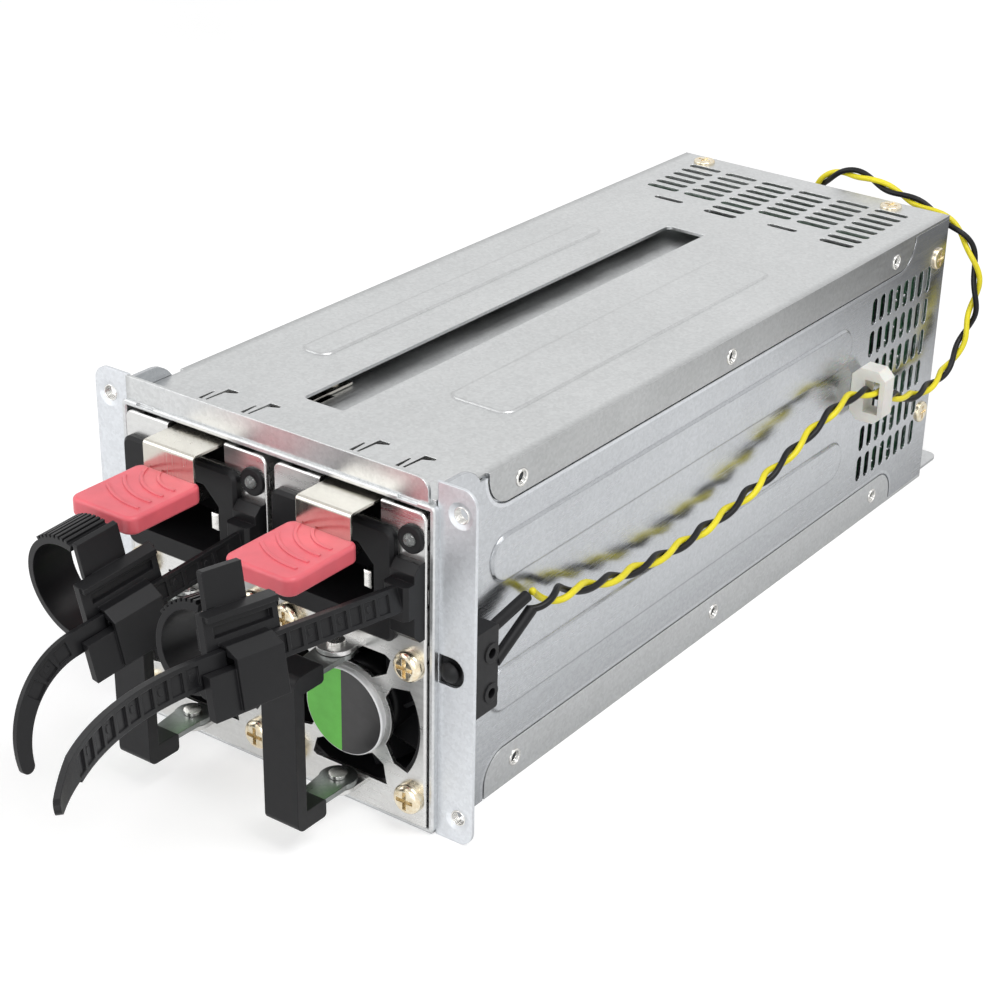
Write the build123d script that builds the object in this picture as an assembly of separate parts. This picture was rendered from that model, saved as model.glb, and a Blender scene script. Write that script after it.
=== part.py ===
from build123d import *
import math
import os

# Two redundant power modules in a sheet steel cage.
# Millimetres. X is right seen from the front, Y goes back into the cage, Z is up.
# The origin is the middle of the ears' front plane, level with the underside.

# Power module
module_width = 39.4
module_height = 73.5
module_length = 185.0
module_gap = 2.0
plate_proud = 2.2
plate_sheet = 0.6
plate_front_sheet = 1.0
plate_return = 9.0
plate_corner = 2.0
case_sheet = 0.6
case_fit = 0.1
latch_recess = 1.3

# Cage sheet metal
sheet = 0.8
side_clearance = 0.8
floor_clearance = 1.2
roof_clearance = 1.7
rear_bay_length = 41.2
ear_reach = 9.0
ear_height = 82.3
ear_corner = 3.5
ear_hole_spacing_x = 94.2
ear_hole_spacing_z = 70.5
ear_thread_radius = 1.65
bend_radius = 1.0
flange_front = 16.4
flange_rear_margin = 20.0
flange_height = 8.4
flange_corner = 7.0
flange_hole_first = 27.4
flange_hole_pitch = 83.2
flange_thread_radius = 1.3
flange_hole_drop = 4.9
side_tab_length = 14.0
lip_height = 4.4
rear_tab_length = 15.5
rear_tab_hole_spacing = 60.0
rear_tab_hole_radius = 2.1
rail_clearance = 0.2
rim_width = 1.3
rim_proud = 1.6

# Cover slot and its lanced divider
slot_front = 21.5
slot_rear = 166.5
slot_width = 11.2
slot_corner = 1.6

# Vents
vent_length = 9.8
vent_width = 2.6
vent_pitch_x = 11.8
vent_pitch_y = 4.38
vent_rear_margin = 9.4
side_vent_length = 7.3
side_vent_pitch_z = 9.03
side_vent_first_z = 17.1
side_vent_rows = 6
side_vent_columns = 8

# Stiffening beads of the side panels
bead_front = 17.0
bead_rear = 172.0
bead_height = 11.0
bead_raise = 0.6
bead_centres_z = (25.3, 56.8)

# Fan
fan_size = 36.4
fan_depth = 28.0
fan_hole_pitch = 32.0
fan_centre_above_floor = 22.5
fan_bore_radius = 17.2
fan_hub_radius = 9.0
fan_blade_clearance = 0.7
fan_blade_count = 7
fan_shaft_radius = 1.5
fan_shaft_clearance = 0.05
guard_opening_radius = 18.4
guard_disc_radius = 10.8
guard_arm_width = 3.6
label_radius = 10.2
label_standoff = 1.4
label_thickness = 1.0

# Mains inlet
inlet_width = 32.0
inlet_height = 25.6
inlet_centre_x = -3.2
inlet_centre_z = 57.5
inlet_proud = 2.0
inlet_body_depth = 21.0
cavity_width = 22.6
cavity_height = 16.0
cavity_depth = 16.0
cavity_chamfer = 4.0
pin_pitch = 14.0
pin_offset = 2.0
pin_tip_recess = 2.8
pin_width = 2.0
pin_height = 4.0

# Status lamp
lamp_x = 16.3
lamp_z = 69.3
lamp_ring_radius = 3.1
lamp_lens_radius = 1.5

# Latch
latch_width = 14.0
latch_centre_x = 0.5
latch_sheet = 0.6
latch_reach = 8.3
latch_drop = 7.9
latch_pivot_y = 34.0
latch_tail = 6.0
latch_clearance = 0.2
tab_width = 17.5
tab_length = 20.8
tab_thickness = 4.0

# Handle
handle_pivot_out = 4.5
handle_reach = 17.9
handle_width = 9.0
handle_bar = 2.8
handle_leg = 4.3
handle_low_z = 6.3
handle_high_z = 42.9
leaf_sheet = 1.2
leaf_radius = 4.1
rivet_radius = 1.2
rivet_clearance = 0.05
rivet_head_radius = 2.0
lug_sheet = 1.0
lug_gap = 0.15

# Cord retainer: ladder strap and its sliding clamp
strap_x = 17.4
strap_z = 58.0
strap_lean = 20.0
strap_width = 5.0
strap_thickness = 1.2
strap_pitch = 4.3
strap_cell_long = 3.3
strap_cell_high = 3.4
strap_cell_deep = 0.4
strap_taper = 14.0
strap_tip_width = 2.8
anchor_left = 13.3
anchor_width = 6.2
anchor_low_z = 47.5
anchor_high_z = 65.0
anchor_depth = 3.4
anchor_boss_depth = 6.0
clamp_length = 12.4
clamp_clearance = 0.25
clamp_wall = 1.6
clamp_box_right = 3.4
clamp_box_low = -7.0
loop_wall = 1.4
loop_width = 9.8
loop_root_x = -2.6
loop_root_z = -6.1
loop_root_angle = -44.0
loop_end_angle = 87.0
loop_tooth_pitch = 1.24
knuckle_radius = 1.5
hinge_pin_radius = 0.7
hinge_clearance = 0.05
hinge_ear = 1.6
hinge_end_gap = 0.2

# Alarm switch and its lead
switch_thickness = 5.2
switch_height = 19.8
switch_depth = 12.2
switch_low_z = 27.3
switch_hole_pitch = 9.5
switch_hole_radius = 1.15
button_x = 45.0
button_z = 40.6
button_radius = 2.5
button_travel = 1.2
sleeve_radius = 1.3
lead_diameter = 3.2
outlet_radius = 2.0

# Rear bay
board_sheet = 1.6
socket_depth = 8.0
card_width = 42.0
card_reach = 7.0
card_slot_clearance = 0.15
harness_bore_radius = 11.0
harness_bushing_wall = 2.0
harness_bushing_length = 7.0

# Sizes worked out from the driving values
pitch = module_width + module_gap
cage_half_width = (2 * module_width + module_gap) / 2 + side_clearance + sheet
module_floor = sheet + floor_clearance
module_top = module_floor + module_height
cage_height = module_top + roof_clearance + sheet
plate_y = -plate_proud
module_rear = plate_y + module_length
cage_length = module_rear + rear_bay_length
case_half_width = module_width / 2 - plate_sheet - case_fit
case_top = module_top - latch_recess
case_front = plate_y + plate_front_sheet
fan_z = module_floor + fan_centre_above_floor
flange_rear = cage_length - flange_rear_margin
roof_under = cage_height - sheet
side_inner = cage_half_width - sheet
joggle_inner = side_inner - sheet
pivot_y = plate_y - handle_pivot_out
latch_z = case_top + latch_clearance
socket_front = module_rear + 1.2
backplane_y = socket_front + socket_depth


def block(x0, x1, y0, y1, z0, z1):
    """Solid box between two corners."""
    middle = ((x0 + x1) / 2, (y0 + y1) / 2, (z0 + z1) / 2)
    return Pos(*middle) * Box(abs(x1 - x0), abs(y1 - y0), abs(z1 - z0))


def rod(axis, radius, start, end, across, up):
    """Round rod along an axis; across and up place its centre on the other two axes."""
    middle = (start + end) / 2
    bar = Cylinder(radius, abs(end - start))
    if axis == "X":
        return Pos(middle, across, up) * Rot(0, 90, 0) * bar
    if axis == "Y":
        return Pos(across, middle, up) * Rot(90, 0, 0) * bar
    return Pos(across, up, middle) * bar


def front_plane(y):
    """Plane seen from the front at a depth: sketch x is X, sketch y is Z."""
    return Plane(origin=(0, y, 0), x_dir=(1, 0, 0), z_dir=(0, -1, 0))


def side_plane(x):
    """Plane seen from the right at a width: sketch x is Y, sketch y is Z."""
    return Plane(origin=(x, 0, 0), x_dir=(0, 1, 0), z_dir=(1, 0, 0))


def rectangle(u0, u1, v0, v1):
    """Sketch rectangle between two corners."""
    return Pos((u0 + u1) / 2, (v0 + v1) / 2) * Rectangle(abs(u1 - u0), abs(v1 - v0))


def soft_rectangle(u0, u1, v0, v1, radius):
    """Sketch rectangle with round corners."""
    return Pos((u0 + u1) / 2, (v0 + v1) / 2) * RectangleRounded(abs(u1 - u0), abs(v1 - v0), radius)


def slot_shape(u, v, length, width, upright):
    """Sketch slot with round ends, lying or upright."""
    return Pos(u, v) * Rot(0, 0, 90 if upright else 0) * SlotOverall(length, width)


def front_sheet(sketch, y0, y1):
    """Extrude a front-view sketch from depth y0 back to y1."""
    return extrude(front_plane(y1) * sketch, amount=y1 - y0, dir=(0, -1, 0))


def side_sheet(sketch, x0, x1):
    """Extrude a side-view sketch from x0 to x1."""
    return extrude(side_plane(x0) * sketch, amount=x1 - x0, dir=(1, 0, 0))


def top_sheet(sketch, z0, z1):
    """Extrude a top-view sketch from z0 up to z1."""
    return extrude(Plane.XY.offset(z0) * sketch, amount=z1 - z0, dir=(0, 0, 1))


def mirrored_if(shape, left):
    """Mirror a right-hand piece to the left side of the cage."""
    return mirror(shape, about=Plane.YZ) if left else shape


def one_solid(shape):
    """Largest solid of a shape, so that a single piece is stored as one solid."""
    found = shape.solids()
    return max(found, key=lambda solid: solid.volume)


# Places that several pieces share

def module_centre(side):
    """X of a module's middle; side is -1 for the left module and 1 for the right."""
    return side * pitch / 2


def fan_hole_places():
    """Fan screw places in the module's own frame, as x and z."""
    half = fan_hole_pitch / 2
    return [(sx * half, fan_z + sz * half) for sx in (-1, 1) for sz in (-1, 1)]


def ear_hole_heights():
    """Heights of the two threaded holes of an ear."""
    middle = ear_height / 2
    return [middle - ear_hole_spacing_z / 2, middle + ear_hole_spacing_z / 2]


def flange_hole_depths():
    """Depths of the three threaded holes in a flange."""
    return [flange_hole_first + number * flange_hole_pitch for number in range(3)]


def side_vent_places():
    """Centres of the side vents as y and z."""
    last = cage_length - vent_rear_margin
    depths = [last - column * vent_pitch_y for column in range(side_vent_columns)]
    heights = [side_vent_first_z + row * side_vent_pitch_z for row in range(side_vent_rows)]
    return [(y, z) for y in depths for z in heights]


def rear_screw_heights():
    """Heights of the screws that hold a side panel to the rear panel."""
    return (0.28 * cage_height, 0.86 * cage_height)


rear_screw_y = cage_length - 4.6
rear_screw_radius = 1.5
cage_screw_head = 3.0
cage_screw_height = 0.8
cage_screw_shank = 3.4
cover_screw_places = (-0.79 * cage_half_width, 0.63 * cage_half_width)


def ear_sheet():
    """Right ear with its two formed holes, and the cut-out for the alarm button."""
    outline = soft_rectangle(side_inner - 12, cage_half_width + ear_reach, 0, ear_height, ear_corner)
    outline -= rectangle(side_inner - 14, side_inner, -1, ear_height + 1)
    ear = front_sheet(outline, 0, sheet)
    for z in ear_hole_heights():
        x = ear_hole_spacing_x / 2
        ear += rod("Y", ear_thread_radius + 1.0, sheet, sheet + 1.4, x, z)
        ear -= rod("Y", ear_thread_radius, -1, sheet + 3, x, z)
        dimple = Cone(ear_thread_radius + 1.3, ear_thread_radius, 0.5)
        ear -= Pos(x, 0.25, z) * Rot(-90, 0, 0) * dimple
    return ear


def side_panel(left):
    """Side panel with its ear, two stiffening beads, rear vents and inset bands for the flanges."""
    band_top = cage_height - flange_height - 0.4
    band_bottom = flange_height + 2.0
    outline = rectangle(0, cage_length, 0, roof_under)
    tab = soft_rectangle(-side_tab_length, side_tab_length, 0, ear_height - bend_radius, side_tab_length / 2)
    outline += tab - rectangle(-side_tab_length - 1, 0, -1, ear_height)
    band_corner = flange_corner + 0.6
    upper_band = soft_rectangle(flange_front - 0.6, flange_rear + 0.6, band_top, cage_height + 12, band_corner)
    lower_band = soft_rectangle(flange_front - 0.6, flange_rear + 0.6, -12, band_bottom, band_corner)
    outline -= rectangle(flange_front - 0.6, cage_length + 1, -1, sheet)
    skin = side_sheet(outline - upper_band - lower_band, side_inner, cage_half_width)
    inset_top = rectangle(flange_front - 1.4, flange_rear + 1.4, band_top - sheet, roof_under)
    inset_low = rectangle(flange_front - 1.4, flange_rear + 1.4, sheet, band_bottom + sheet)
    panel = skin + side_sheet(inset_top, joggle_inner, side_inner)
    panel += side_sheet(inset_low, joggle_inner, side_inner)
    for centre_z in bead_centres_z:
        length = bead_rear - bead_front
        bead = slot_shape((bead_front + bead_rear) / 2, centre_z, length, bead_height, False)
        raised = side_sheet(bead, cage_half_width, cage_half_width + bead_raise)
        raised = chamfer(raised.faces().sort_by(Axis.X)[-1].edges(), bead_raise * 0.8)
        hollow = slot_shape((bead_front + bead_rear) / 2, centre_z, length - 2.4, bead_height - 2.4, False)
        panel += raised
        panel -= side_sheet(hollow, side_inner - 0.1, side_inner + bead_raise)
    vents = [slot_shape(y, z, side_vent_length, vent_width, True) for y, z in side_vent_places()]
    panel -= side_sheet(Sketch() + vents, side_inner - 1, cage_half_width + 1)
    panel += ear_sheet()
    bend = panel.edges().filter_by(Axis.Z).filter_by_position(Axis.X, side_inner - 0.01, side_inner + 0.01)
    bend = bend.filter_by_position(Axis.Y, -0.01, 0.01)
    panel = fillet(bend, sheet * 0.8)
    for y in flange_hole_depths():
        for z in (cage_height - flange_hole_drop, flange_hole_drop + 0.4):
            panel -= rod("X", flange_thread_radius + 0.6, joggle_inner - 1, side_inner + 1, y, z)
    for z in rear_screw_heights():
        panel -= rod("X", rear_screw_radius + 0.15, side_inner - 1, cage_half_width + 1, rear_screw_y, z)
    if not left:
        panel -= button_cutout(0.9)
        panel -= rod("X", saddle_stud_radius + 0.1, side_inner - 1, cage_half_width + 1, saddle_y, saddle_z)
    return mirrored_if(one_solid(panel), left)


def button_cutout(margin):
    """Round-ended cut-out in the right ear that shows the alarm button."""
    reach = button_x + button_radius + margin
    height = button_radius + margin
    shape = soft_rectangle(cage_half_width - 8, reach, button_z - height, button_z + height, height * 0.92)
    shape -= rectangle(cage_half_width - 9, cage_half_width + 0.1, button_z - 9, button_z + 9)
    return front_sheet(shape, -1, sheet + 1)


def cover_slits():
    """Four lanced slit pairs near the front of the cover."""
    cuts = Sketch()
    for side in (-1, 1):
        for offset in (-6.5, 5.4):
            x = module_centre(side) + offset
            wedge = Polygon((x - 1.4, 7.6), (x - 0.4, 7.6), (x - 0.7, 12.2), (x - 1.2, 12.2), align=None)
            slit = Polygon((x + 0.3, 7.9), (x + 0.9, 7.9), (x + 1.3, 13.0), (x + 3.6, 14.2),
                           (x + 3.6, 15.1), (x + 0.6, 15.1), align=None)
            cuts += wedge
            cuts += slit
    return cuts


def cover_vents():
    """Six vent columns at the rear of the cover, the third and sixth longer than the rest."""
    cuts = Sketch()
    first_x = -2.5 * vent_pitch_x - 0.4
    for column in range(6):
        rows = 8 if column in (2, 5) else 6
        for row in range(rows):
            x = first_x + column * vent_pitch_x
            y = cage_length - vent_rear_margin - row * vent_pitch_y
            cuts += slot_shape(x, y, vent_length, vent_width, False)
    for side in (-1, 1):
        x = side * 1.5 * vent_pitch_x - 5.5
        cuts += slot_shape(x, cage_length - 39.0, vent_length - 1.0, vent_width - 0.5, False)
    return cuts


def cover_flange(reach):
    """Right-hand flange folded down over the side panel, with its threaded holes."""
    low = cage_height - flange_height
    shape = soft_rectangle(flange_front, flange_rear, low, cage_height + reach, flange_corner)
    shape -= rectangle(flange_front - 1, flange_rear + 1, cage_height - sheet, cage_height + reach + 1)
    flange = side_sheet(shape, side_inner, cage_half_width)
    for y in flange_hole_depths():
        flange -= rod("X", flange_thread_radius, side_inner - 1, cage_half_width + 1, y,
                      cage_height - flange_hole_drop)
    return flange


def top_cover():
    """Cover: flat top, upturned front lip, side flanges, long slot with its divider tab."""
    inner = side_inner - 0.1
    outline = rectangle(-cage_half_width, cage_half_width, flange_front, cage_length)
    outline += rectangle(-inner, inner, 0, cage_length)
    slot_left = -sheet / 2 - slot_width
    slot = soft_rectangle(slot_left, -sheet / 2 + 4, slot_front, slot_rear, slot_corner)
    slot -= rectangle(-sheet / 2, 10, slot_front - 1, slot_rear + 1)
    outline -= slot
    outline -= cover_slits()
    outline -= cover_vents()
    for x in cover_screw_places:
        outline -= Pos(x, rear_screw_y) * Circle(rear_screw_radius + 0.15)
    cover = top_sheet(outline, roof_under, cage_height)
    panels = ((module_centre(1) - 1, 16.5), (module_centre(-1) - 5.6, 8.0))
    for centre_x, width in panels:
        raised = soft_rectangle(centre_x - width / 2, centre_x + width / 2,
                                slot_front + 20, slot_rear - 14, 3)
        pad = top_sheet(raised, cage_height, cage_height + 0.3)
        cover += chamfer(pad.faces().sort_by(Axis.Z)[-1].edges(), 0.25)
    lip = soft_rectangle(-inner - 6, inner - 1.2, roof_under - 6, cage_height + lip_height, 3.0)
    lip -= rectangle(-inner - 7, -inner, 0, 2 * cage_height)
    lip -= rectangle(-inner - 7, inner + 1, 0, roof_under)
    cover += front_sheet(lip, -sheet, 0)
    divider_low = cage_height - slot_width - sheet
    divider_front = flange_hole_first + 3.0
    divider = block(-sheet / 2, sheet / 2, divider_front, slot_rear - 1, divider_low, cage_height)
    cover += divider
    for left in (False, True):
        cover += mirrored_if(cover_flange(10), left)
    return one_solid(cover)


def base_panel():
    """Base: flat floor, runner beads under each module, side flanges and a rear fixing tab."""
    inner = side_inner - 0.1
    outline = rectangle(-cage_half_width, cage_half_width, flange_front, cage_length)
    outline += rectangle(-inner, inner, -sheet, cage_length)
    tab = soft_rectangle(-inner + 1, inner - 1, cage_length - 12, cage_length + rear_tab_length, 3)
    outline += tab
    for side in (-1, 1):
        hole_y = cage_length + rear_tab_length / 2
        outline -= Pos(side * rear_tab_hole_spacing / 2, hole_y) * Circle(rear_tab_hole_radius)
    base = top_sheet(outline, 0, sheet)
    rail_top = module_floor - rail_clearance
    for side in (-1, 1):
        for offset in (-11.0, 11.0):
            x = module_centre(side) + offset
            bead = slot_shape(x, (12 + module_rear) / 2, module_rear - 14, 5.0, True)
            rail = top_sheet(bead, sheet, rail_top)
            base += chamfer(rail.faces().sort_by(Axis.Z)[-1].edges(), 0.4)
    for left in (False, True):
        shape = soft_rectangle(flange_front, flange_rear, -10, flange_height + 1.6, flange_corner)
        shape -= rectangle(flange_front - 1, flange_rear + 1, -11, 0)
        flange = side_sheet(shape, side_inner, cage_half_width)
        for y in flange_hole_depths():
            flange -= rod("X", flange_thread_radius, side_inner - 1, cage_half_width + 1, y,
                          flange_hole_drop + 0.4)
        base += mirrored_if(flange, left)
    return one_solid(base)


def front_rim():
    """Hemmed rim round the two bays, standing a little proud of the ears."""
    half = cage_half_width
    face = soft_rectangle(-half, half, sheet, roof_under, 1.2)
    behind = rectangle(-side_inner, side_inner, sheet, roof_under)
    opening = rectangle(-side_inner + rim_width - sheet, side_inner - rim_width + sheet,
                        module_floor - 0.4, roof_under - rim_width)
    rim = front_sheet(face - opening, -rim_proud, 0)
    rim = chamfer(rim.faces().sort_by(Axis.Y)[0].edges(), 0.3)
    rim += front_sheet(behind - opening, 0, 6.0)
    for side in (-1, 1):
        notch_x = side * (side_inner - 6.0)
        rim -= block(notch_x - 2.5, notch_x + 2.5, -rim_proud - 1, -rim_proud + 0.7,
                     roof_under - 0.6, roof_under + 1)
    return one_solid(rim)


def rear_panel():
    """Rear panel: vents, round harness hole, lead hole and folded edges that take the screws."""
    inset = 0.05
    half = side_inner - inset
    top = roof_under - inset
    outline = rectangle(-half, half, sheet, top)
    outline -= Pos(harness_x, harness_z) * Circle(harness_bore_radius + harness_bushing_wall)
    outline -= Pos(outlet_x, outlet_z) * Circle(outlet_radius + 1.0)
    for column in range(5):
        for row in range(4):
            outline -= slot_shape(-32 + column * 11.8, 12 + row * 5.0, vent_length, 2.2, False)
    panel = front_sheet(outline, cage_length - sheet, cage_length)
    fold = 9.0
    for side in (-1, 1):
        x0 = side * half
        x1 = side * (half - sheet)
        panel += block(min(x0, x1), max(x0, x1), cage_length - fold, cage_length, sheet + 1, top - 1)
    panel += block(-half + 2, half - 2, cage_length - fold, cage_length, top - sheet, top)
    panel += block(-half + 2, half - 2, cage_length - fold, cage_length, sheet, 2 * sheet)
    for side in (-1, 1):
        for z in rear_screw_heights():
            panel -= rod("X", rear_screw_radius, side * (half - 3), side * (half + 1), rear_screw_y, z)
    for x in cover_screw_places:
        panel -= rod("Z", rear_screw_radius, top - 3, top + 1, x, rear_screw_y)
    slots = cover_vents()
    panel -= top_sheet(slots, top - sheet - 0.5, top + 1)
    vents = Sketch() + [slot_shape(y, z, side_vent_length, vent_width, True) for y, z in side_vent_places()]
    panel -= side_sheet(vents, -half - 1, -half + 3)
    panel -= side_sheet(vents, half - 3, half + 1)
    return one_solid(panel)


harness_x = 22.0
harness_z = 0.42 * cage_height
outlet_x = -8.0
outlet_z = 0.523 * cage_height


def grooved_bushing(x, z, bore, wall, length):
    """Plastic bushing seated in the rear panel, with a collar on each side."""
    middle = cage_length - sheet / 2
    ring = rod("Y", bore + wall, cage_length - sheet, cage_length, x, z)
    ring += rod("Y", bore + wall + 1.2, cage_length, middle + length / 2, x, z)
    ring += rod("Y", bore + wall + 1.0, middle - length / 2, cage_length - sheet, x, z)
    return ring - rod("Y", bore, cage_length - length, cage_length + length, x, z)


def harness_bushing():
    """Bushing of the output harness hole."""
    return one_solid(grooved_bushing(harness_x, harness_z, harness_bore_radius, harness_bushing_wall,
                                     harness_bushing_length))


def lead_bushing():
    """Small bushing where the alarm lead enters."""
    return one_solid(grooved_bushing(outlet_x, outlet_z, outlet_radius, 1.0, 6.0))


def screw(axis, sign, seat, across, up, head_radius, shank_radius, shank_length, head_height):
    """Pan head screw with a cross recess; its head stands off the seat on the sign side."""
    top = seat + sign * head_height
    head = rod(axis, head_radius, seat, top, across, up)
    rim = head.edges().filter_by(GeomType.CIRCLE)
    rim = rim.filter_by_position(Axis.X if axis == "X" else Axis.Y if axis == "Y" else Axis.Z,
                                 top - 0.01, top + 0.01)
    head = fillet(rim, head_height * 0.6)
    body = head + rod(axis, shank_radius, seat, seat - sign * shank_length, across, up)
    arm = head_radius * 0.62
    slit = head_radius * 0.14
    low = top - sign * head_height * 0.55
    high = top + sign
    if axis == "X":
        body -= block(min(low, high), max(low, high), across - arm, across + arm, up - slit, up + slit)
        body -= block(min(low, high), max(low, high), across - slit, across + slit, up - arm, up + arm)
    elif axis == "Y":
        body -= block(across - arm, across + arm, min(low, high), max(low, high), up - slit, up + slit)
        body -= block(across - slit, across + slit, min(low, high), max(low, high), up - arm, up + arm)
    else:
        body -= block(across - arm, across + arm, up - slit, up + slit, min(low, high), max(low, high))
        body -= block(across - slit, across + slit, up - arm, up + arm, min(low, high), max(low, high))
    return body


def cage_screws():
    """Screws through the cover and both side panels into the rear panel."""
    shank = rear_screw_radius - 0.02
    found = []
    for x in cover_screw_places:
        found.append(screw("Z", 1, cage_height, x, rear_screw_y, cage_screw_head, shank, cage_screw_shank,
                           cage_screw_height))
    for side in (-1, 1):
        for z in rear_screw_heights():
            found.append(screw("X", side, side * cage_half_width, rear_screw_y, z, cage_screw_head, shank,
                               cage_screw_shank, cage_screw_height))
    return Compound(found)


def backplane_board():
    """Board across the cage that the modules plug into."""
    board = block(-joggle_inner + 0.2, joggle_inner - 0.2, backplane_y, backplane_y + board_sheet,
                  sheet + 1.0, roof_under - 0.8)
    for x in (-24.0, -8.0, 8.0, 24.0):
        board -= rod("Y", 3.0, backplane_y - 1, backplane_y + 4, x, cage_height - 9)
    return board


def bay_sockets():
    """Two card edge sockets on the front of the backplane."""
    found = []
    for side in (-1, 1):
        x = module_centre(side) + card_x
        low = card_z - card_width / 2 - 3
        high = card_z + card_width / 2 + 3
        body = block(x - 4.5, x + 4.5, socket_front, backplane_y, low, high)
        gap = board_sheet / 2 + card_slot_clearance
        body -= block(x - gap, x + gap, socket_front - 1, backplane_y - 0.6,
                      card_z - card_width / 2 - 0.4, card_z + card_width / 2 + 0.4)
        found.append(body)
    return Compound(found)


card_x = -13.0
card_z = module_floor + 0.5 * module_height


def distribution_board():
    """Upright board beside the right wall of the rear bay."""
    x = joggle_inner - 2.0
    return block(x - board_sheet, x, backplane_y + board_sheet, cage_length - 9.4, 5.0, cage_height - 6.0)


def rear_bay_parts():
    """Capacitors, coils and the buzzer on the distribution board."""
    x = joggle_inner - 2.0 - board_sheet
    found = []
    y = backplane_y + board_sheet + 6.5
    for z, radius, height in ((14.0, 4.0, 12.0), (62.0, 4.0, 12.0), (52.5, 4.0, 12.0)):
        found.append(rod("X", radius, x - height, x, y, z))
    coil = rod("X", 6.0, x - 5.0, x, y + 1.5, 40.0) - rod("X", 2.6, x - 6.0, x - 0.8, y + 1.5, 40.0)
    found.append(coil)
    buzzer = rod("X", 4.6, x - 5.5, x, y, 27.5) - rod("X", 0.9, x - 6.5, x - 4.0, y, 27.5)
    found.append(buzzer)
    return Compound(found)


# Alarm switch, lead and saddle

switch_x = cage_half_width + 0.1
switch_y = sheet + 0.15
lead_start_y = 26.2
lead_side_length = cage_length - lead_start_y
saddle_y = lead_start_y + 0.762 * lead_side_length
saddle_z = 43.0
saddle_stud_radius = 1.6


def lead_route():
    """Corner points of the lead, from the switch sleeves to the rear bushing."""
    side_run = ((3.9, 0.0, 46.2), (4.0, 0.09, 41.4), (4.1, 0.191, 36.8), (4.3, 0.302, 35.0), (4.5, 0.414, 36.0),
                (4.9, 0.52, 39.6), (5.5, 0.626, 45.4), (6.0, 0.704, 47.8), (6.2, 0.788, 41.4), (6.2, 0.869, 34.6),
                (6.0, 0.939, 34.0), (5.4, 0.997, 35.8))
    points = [(cage_half_width + off, lead_start_y + share * lead_side_length, z) for off, share, z in side_run]
    climb = ((5.6, 6.5, 42.0), (6.9, 8.6, 52.0), (6.2, 8.6, 62.0))
    points += [(cage_half_width + off, cage_length + behind, z) for off, behind, z in climb]
    over = ((1.04, 8.6, -7.6), (0.81, 8.4, -2.8), (0.5, 8.2, 0.0), (0.19, 8.2, 3.4), (-0.04, 10.0, -0.6))
    points += [(share * cage_half_width, cage_length + behind, cage_height + up) for share, behind, up in over]
    down = ((1.5, 11.5, 28.7), (-0.2, 13.5, 19.2), (-0.2, 14.2, 10.7), (-0.1, 11.6, 4.2), (0.0, 5.9, 0.4),
            (0.0, -0.8, 0.1))
    points += [(outlet_x + off, cage_length + behind, outlet_z + up) for off, behind, up in down]
    return points


def alarm_switch():
    """Sub-miniature switch body behind the right ear, with two fixing holes and terminals."""
    x1 = switch_x + switch_thickness
    body = block(switch_x, x1, switch_y, switch_y + switch_depth, switch_low_z, switch_low_z + switch_height)
    body = fillet(body.edges().filter_by(Axis.X), 0.6)
    middle = switch_low_z + switch_height / 2 - 0.9
    y = switch_y + switch_depth - 2.4
    for z in (middle - switch_hole_pitch / 2, middle + switch_hole_pitch / 2):
        body += rod("X", switch_hole_radius + 1.1, x1, x1 + 0.25, y, z)
        body -= rod("X", switch_hole_radius, switch_x + 1.0, x1 + 1, y, z)
    body -= rod("Y", button_stem_radius + 0.05, switch_y - 1, switch_y + 6.5, button_x, button_z)
    for x, z in sleeve_roots():
        end = switch_y + switch_depth
        body += block(x - 0.3, x + 0.3, end - 1, end + 2.2, z - 0.9, z + 0.9)
    return one_solid(body)


button_stem_radius = 1.4


def sleeve_roots():
    """Terminal places on the rear of the switch, as x and z."""
    return ((45.2, switch_low_z + switch_height - 2.2), (46.4, switch_low_z + switch_height - 9.6))


def alarm_button():
    """Push button: domed cap on a stem that slides into the switch."""
    dome = Sphere(button_radius * 1.25)
    cap = Pos(button_x, sheet - 2.2 + button_radius * 1.25, button_z) * dome
    keep = rod("Y", button_radius, sheet - 3, switch_y - button_travel - 0.05, button_x, button_z)
    limit = block(button_x - 9, button_x + 9, sheet - 4, switch_y - 0.1, button_z - 9, button_z + 9)
    cap = cap & keep & limit
    stem = rod("Y", button_stem_radius, sheet - 1.4, switch_y + 4.0, button_x, button_z)
    return one_solid(cap + stem)


def alarm_sleeves():
    """Two shrink sleeves over the switch terminals."""
    found = []
    ends = ((45.3, 25.6, 47.3), (46.6, 25.6, 44.6))
    start_y = switch_y + switch_depth + 0.05
    for (x, z), end in zip(sleeve_roots(), ends):
        start = Vector(x, start_y, z)
        path = Vector(*end) - start
        plane = Plane(origin=start, z_dir=path)
        sleeve = extrude(plane * Circle(sleeve_radius), amount=path.length)
        sleeve -= block(x - 0.35, x + 0.35, start_y - 1, start_y + 2.4, z - 0.95, z + 0.95)
        sleeve -= block(x - 5, x + 5, start_y - 5, start_y, z - 5, z + 5)
        found.append(sleeve.solids()[0])
    return Compound(found)


def corner_radii(route):
    """Largest arc at each corner of a route that its two runs allow."""
    points = [Vector(*point) for point in route]
    radii = []
    for before, corner, after in zip(points, points[1:], points[2:]):
        arriving = corner - before
        leaving = after - corner
        half_turn = math.radians(arriving.get_angle(leaving)) / 2
        shorter = min(arriving.length, leaving.length)
        radii.append(0.45 * shorter / math.tan(half_turn))
    return radii


def alarm_lead():
    """Twisted pair as one tube: from the switch, through the saddle, round to the rear bushing."""
    route = lead_route()
    radii = corner_radii(route)
    print("lead arc radii:", [round(radius, 1) for radius in radii])
    path = FilletPolyline(*route, radius=radii)
    start = Plane(origin=path @ 0, z_dir=path % 0)
    tube = sweep(start * Circle(lead_diameter / 2), path=path)
    print("lead length:", round(path.length, 1), "volume ratio:",
          round(tube.volume / (math.pi * lead_diameter ** 2 / 4 * path.length), 4))
    return one_solid(tube)


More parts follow.
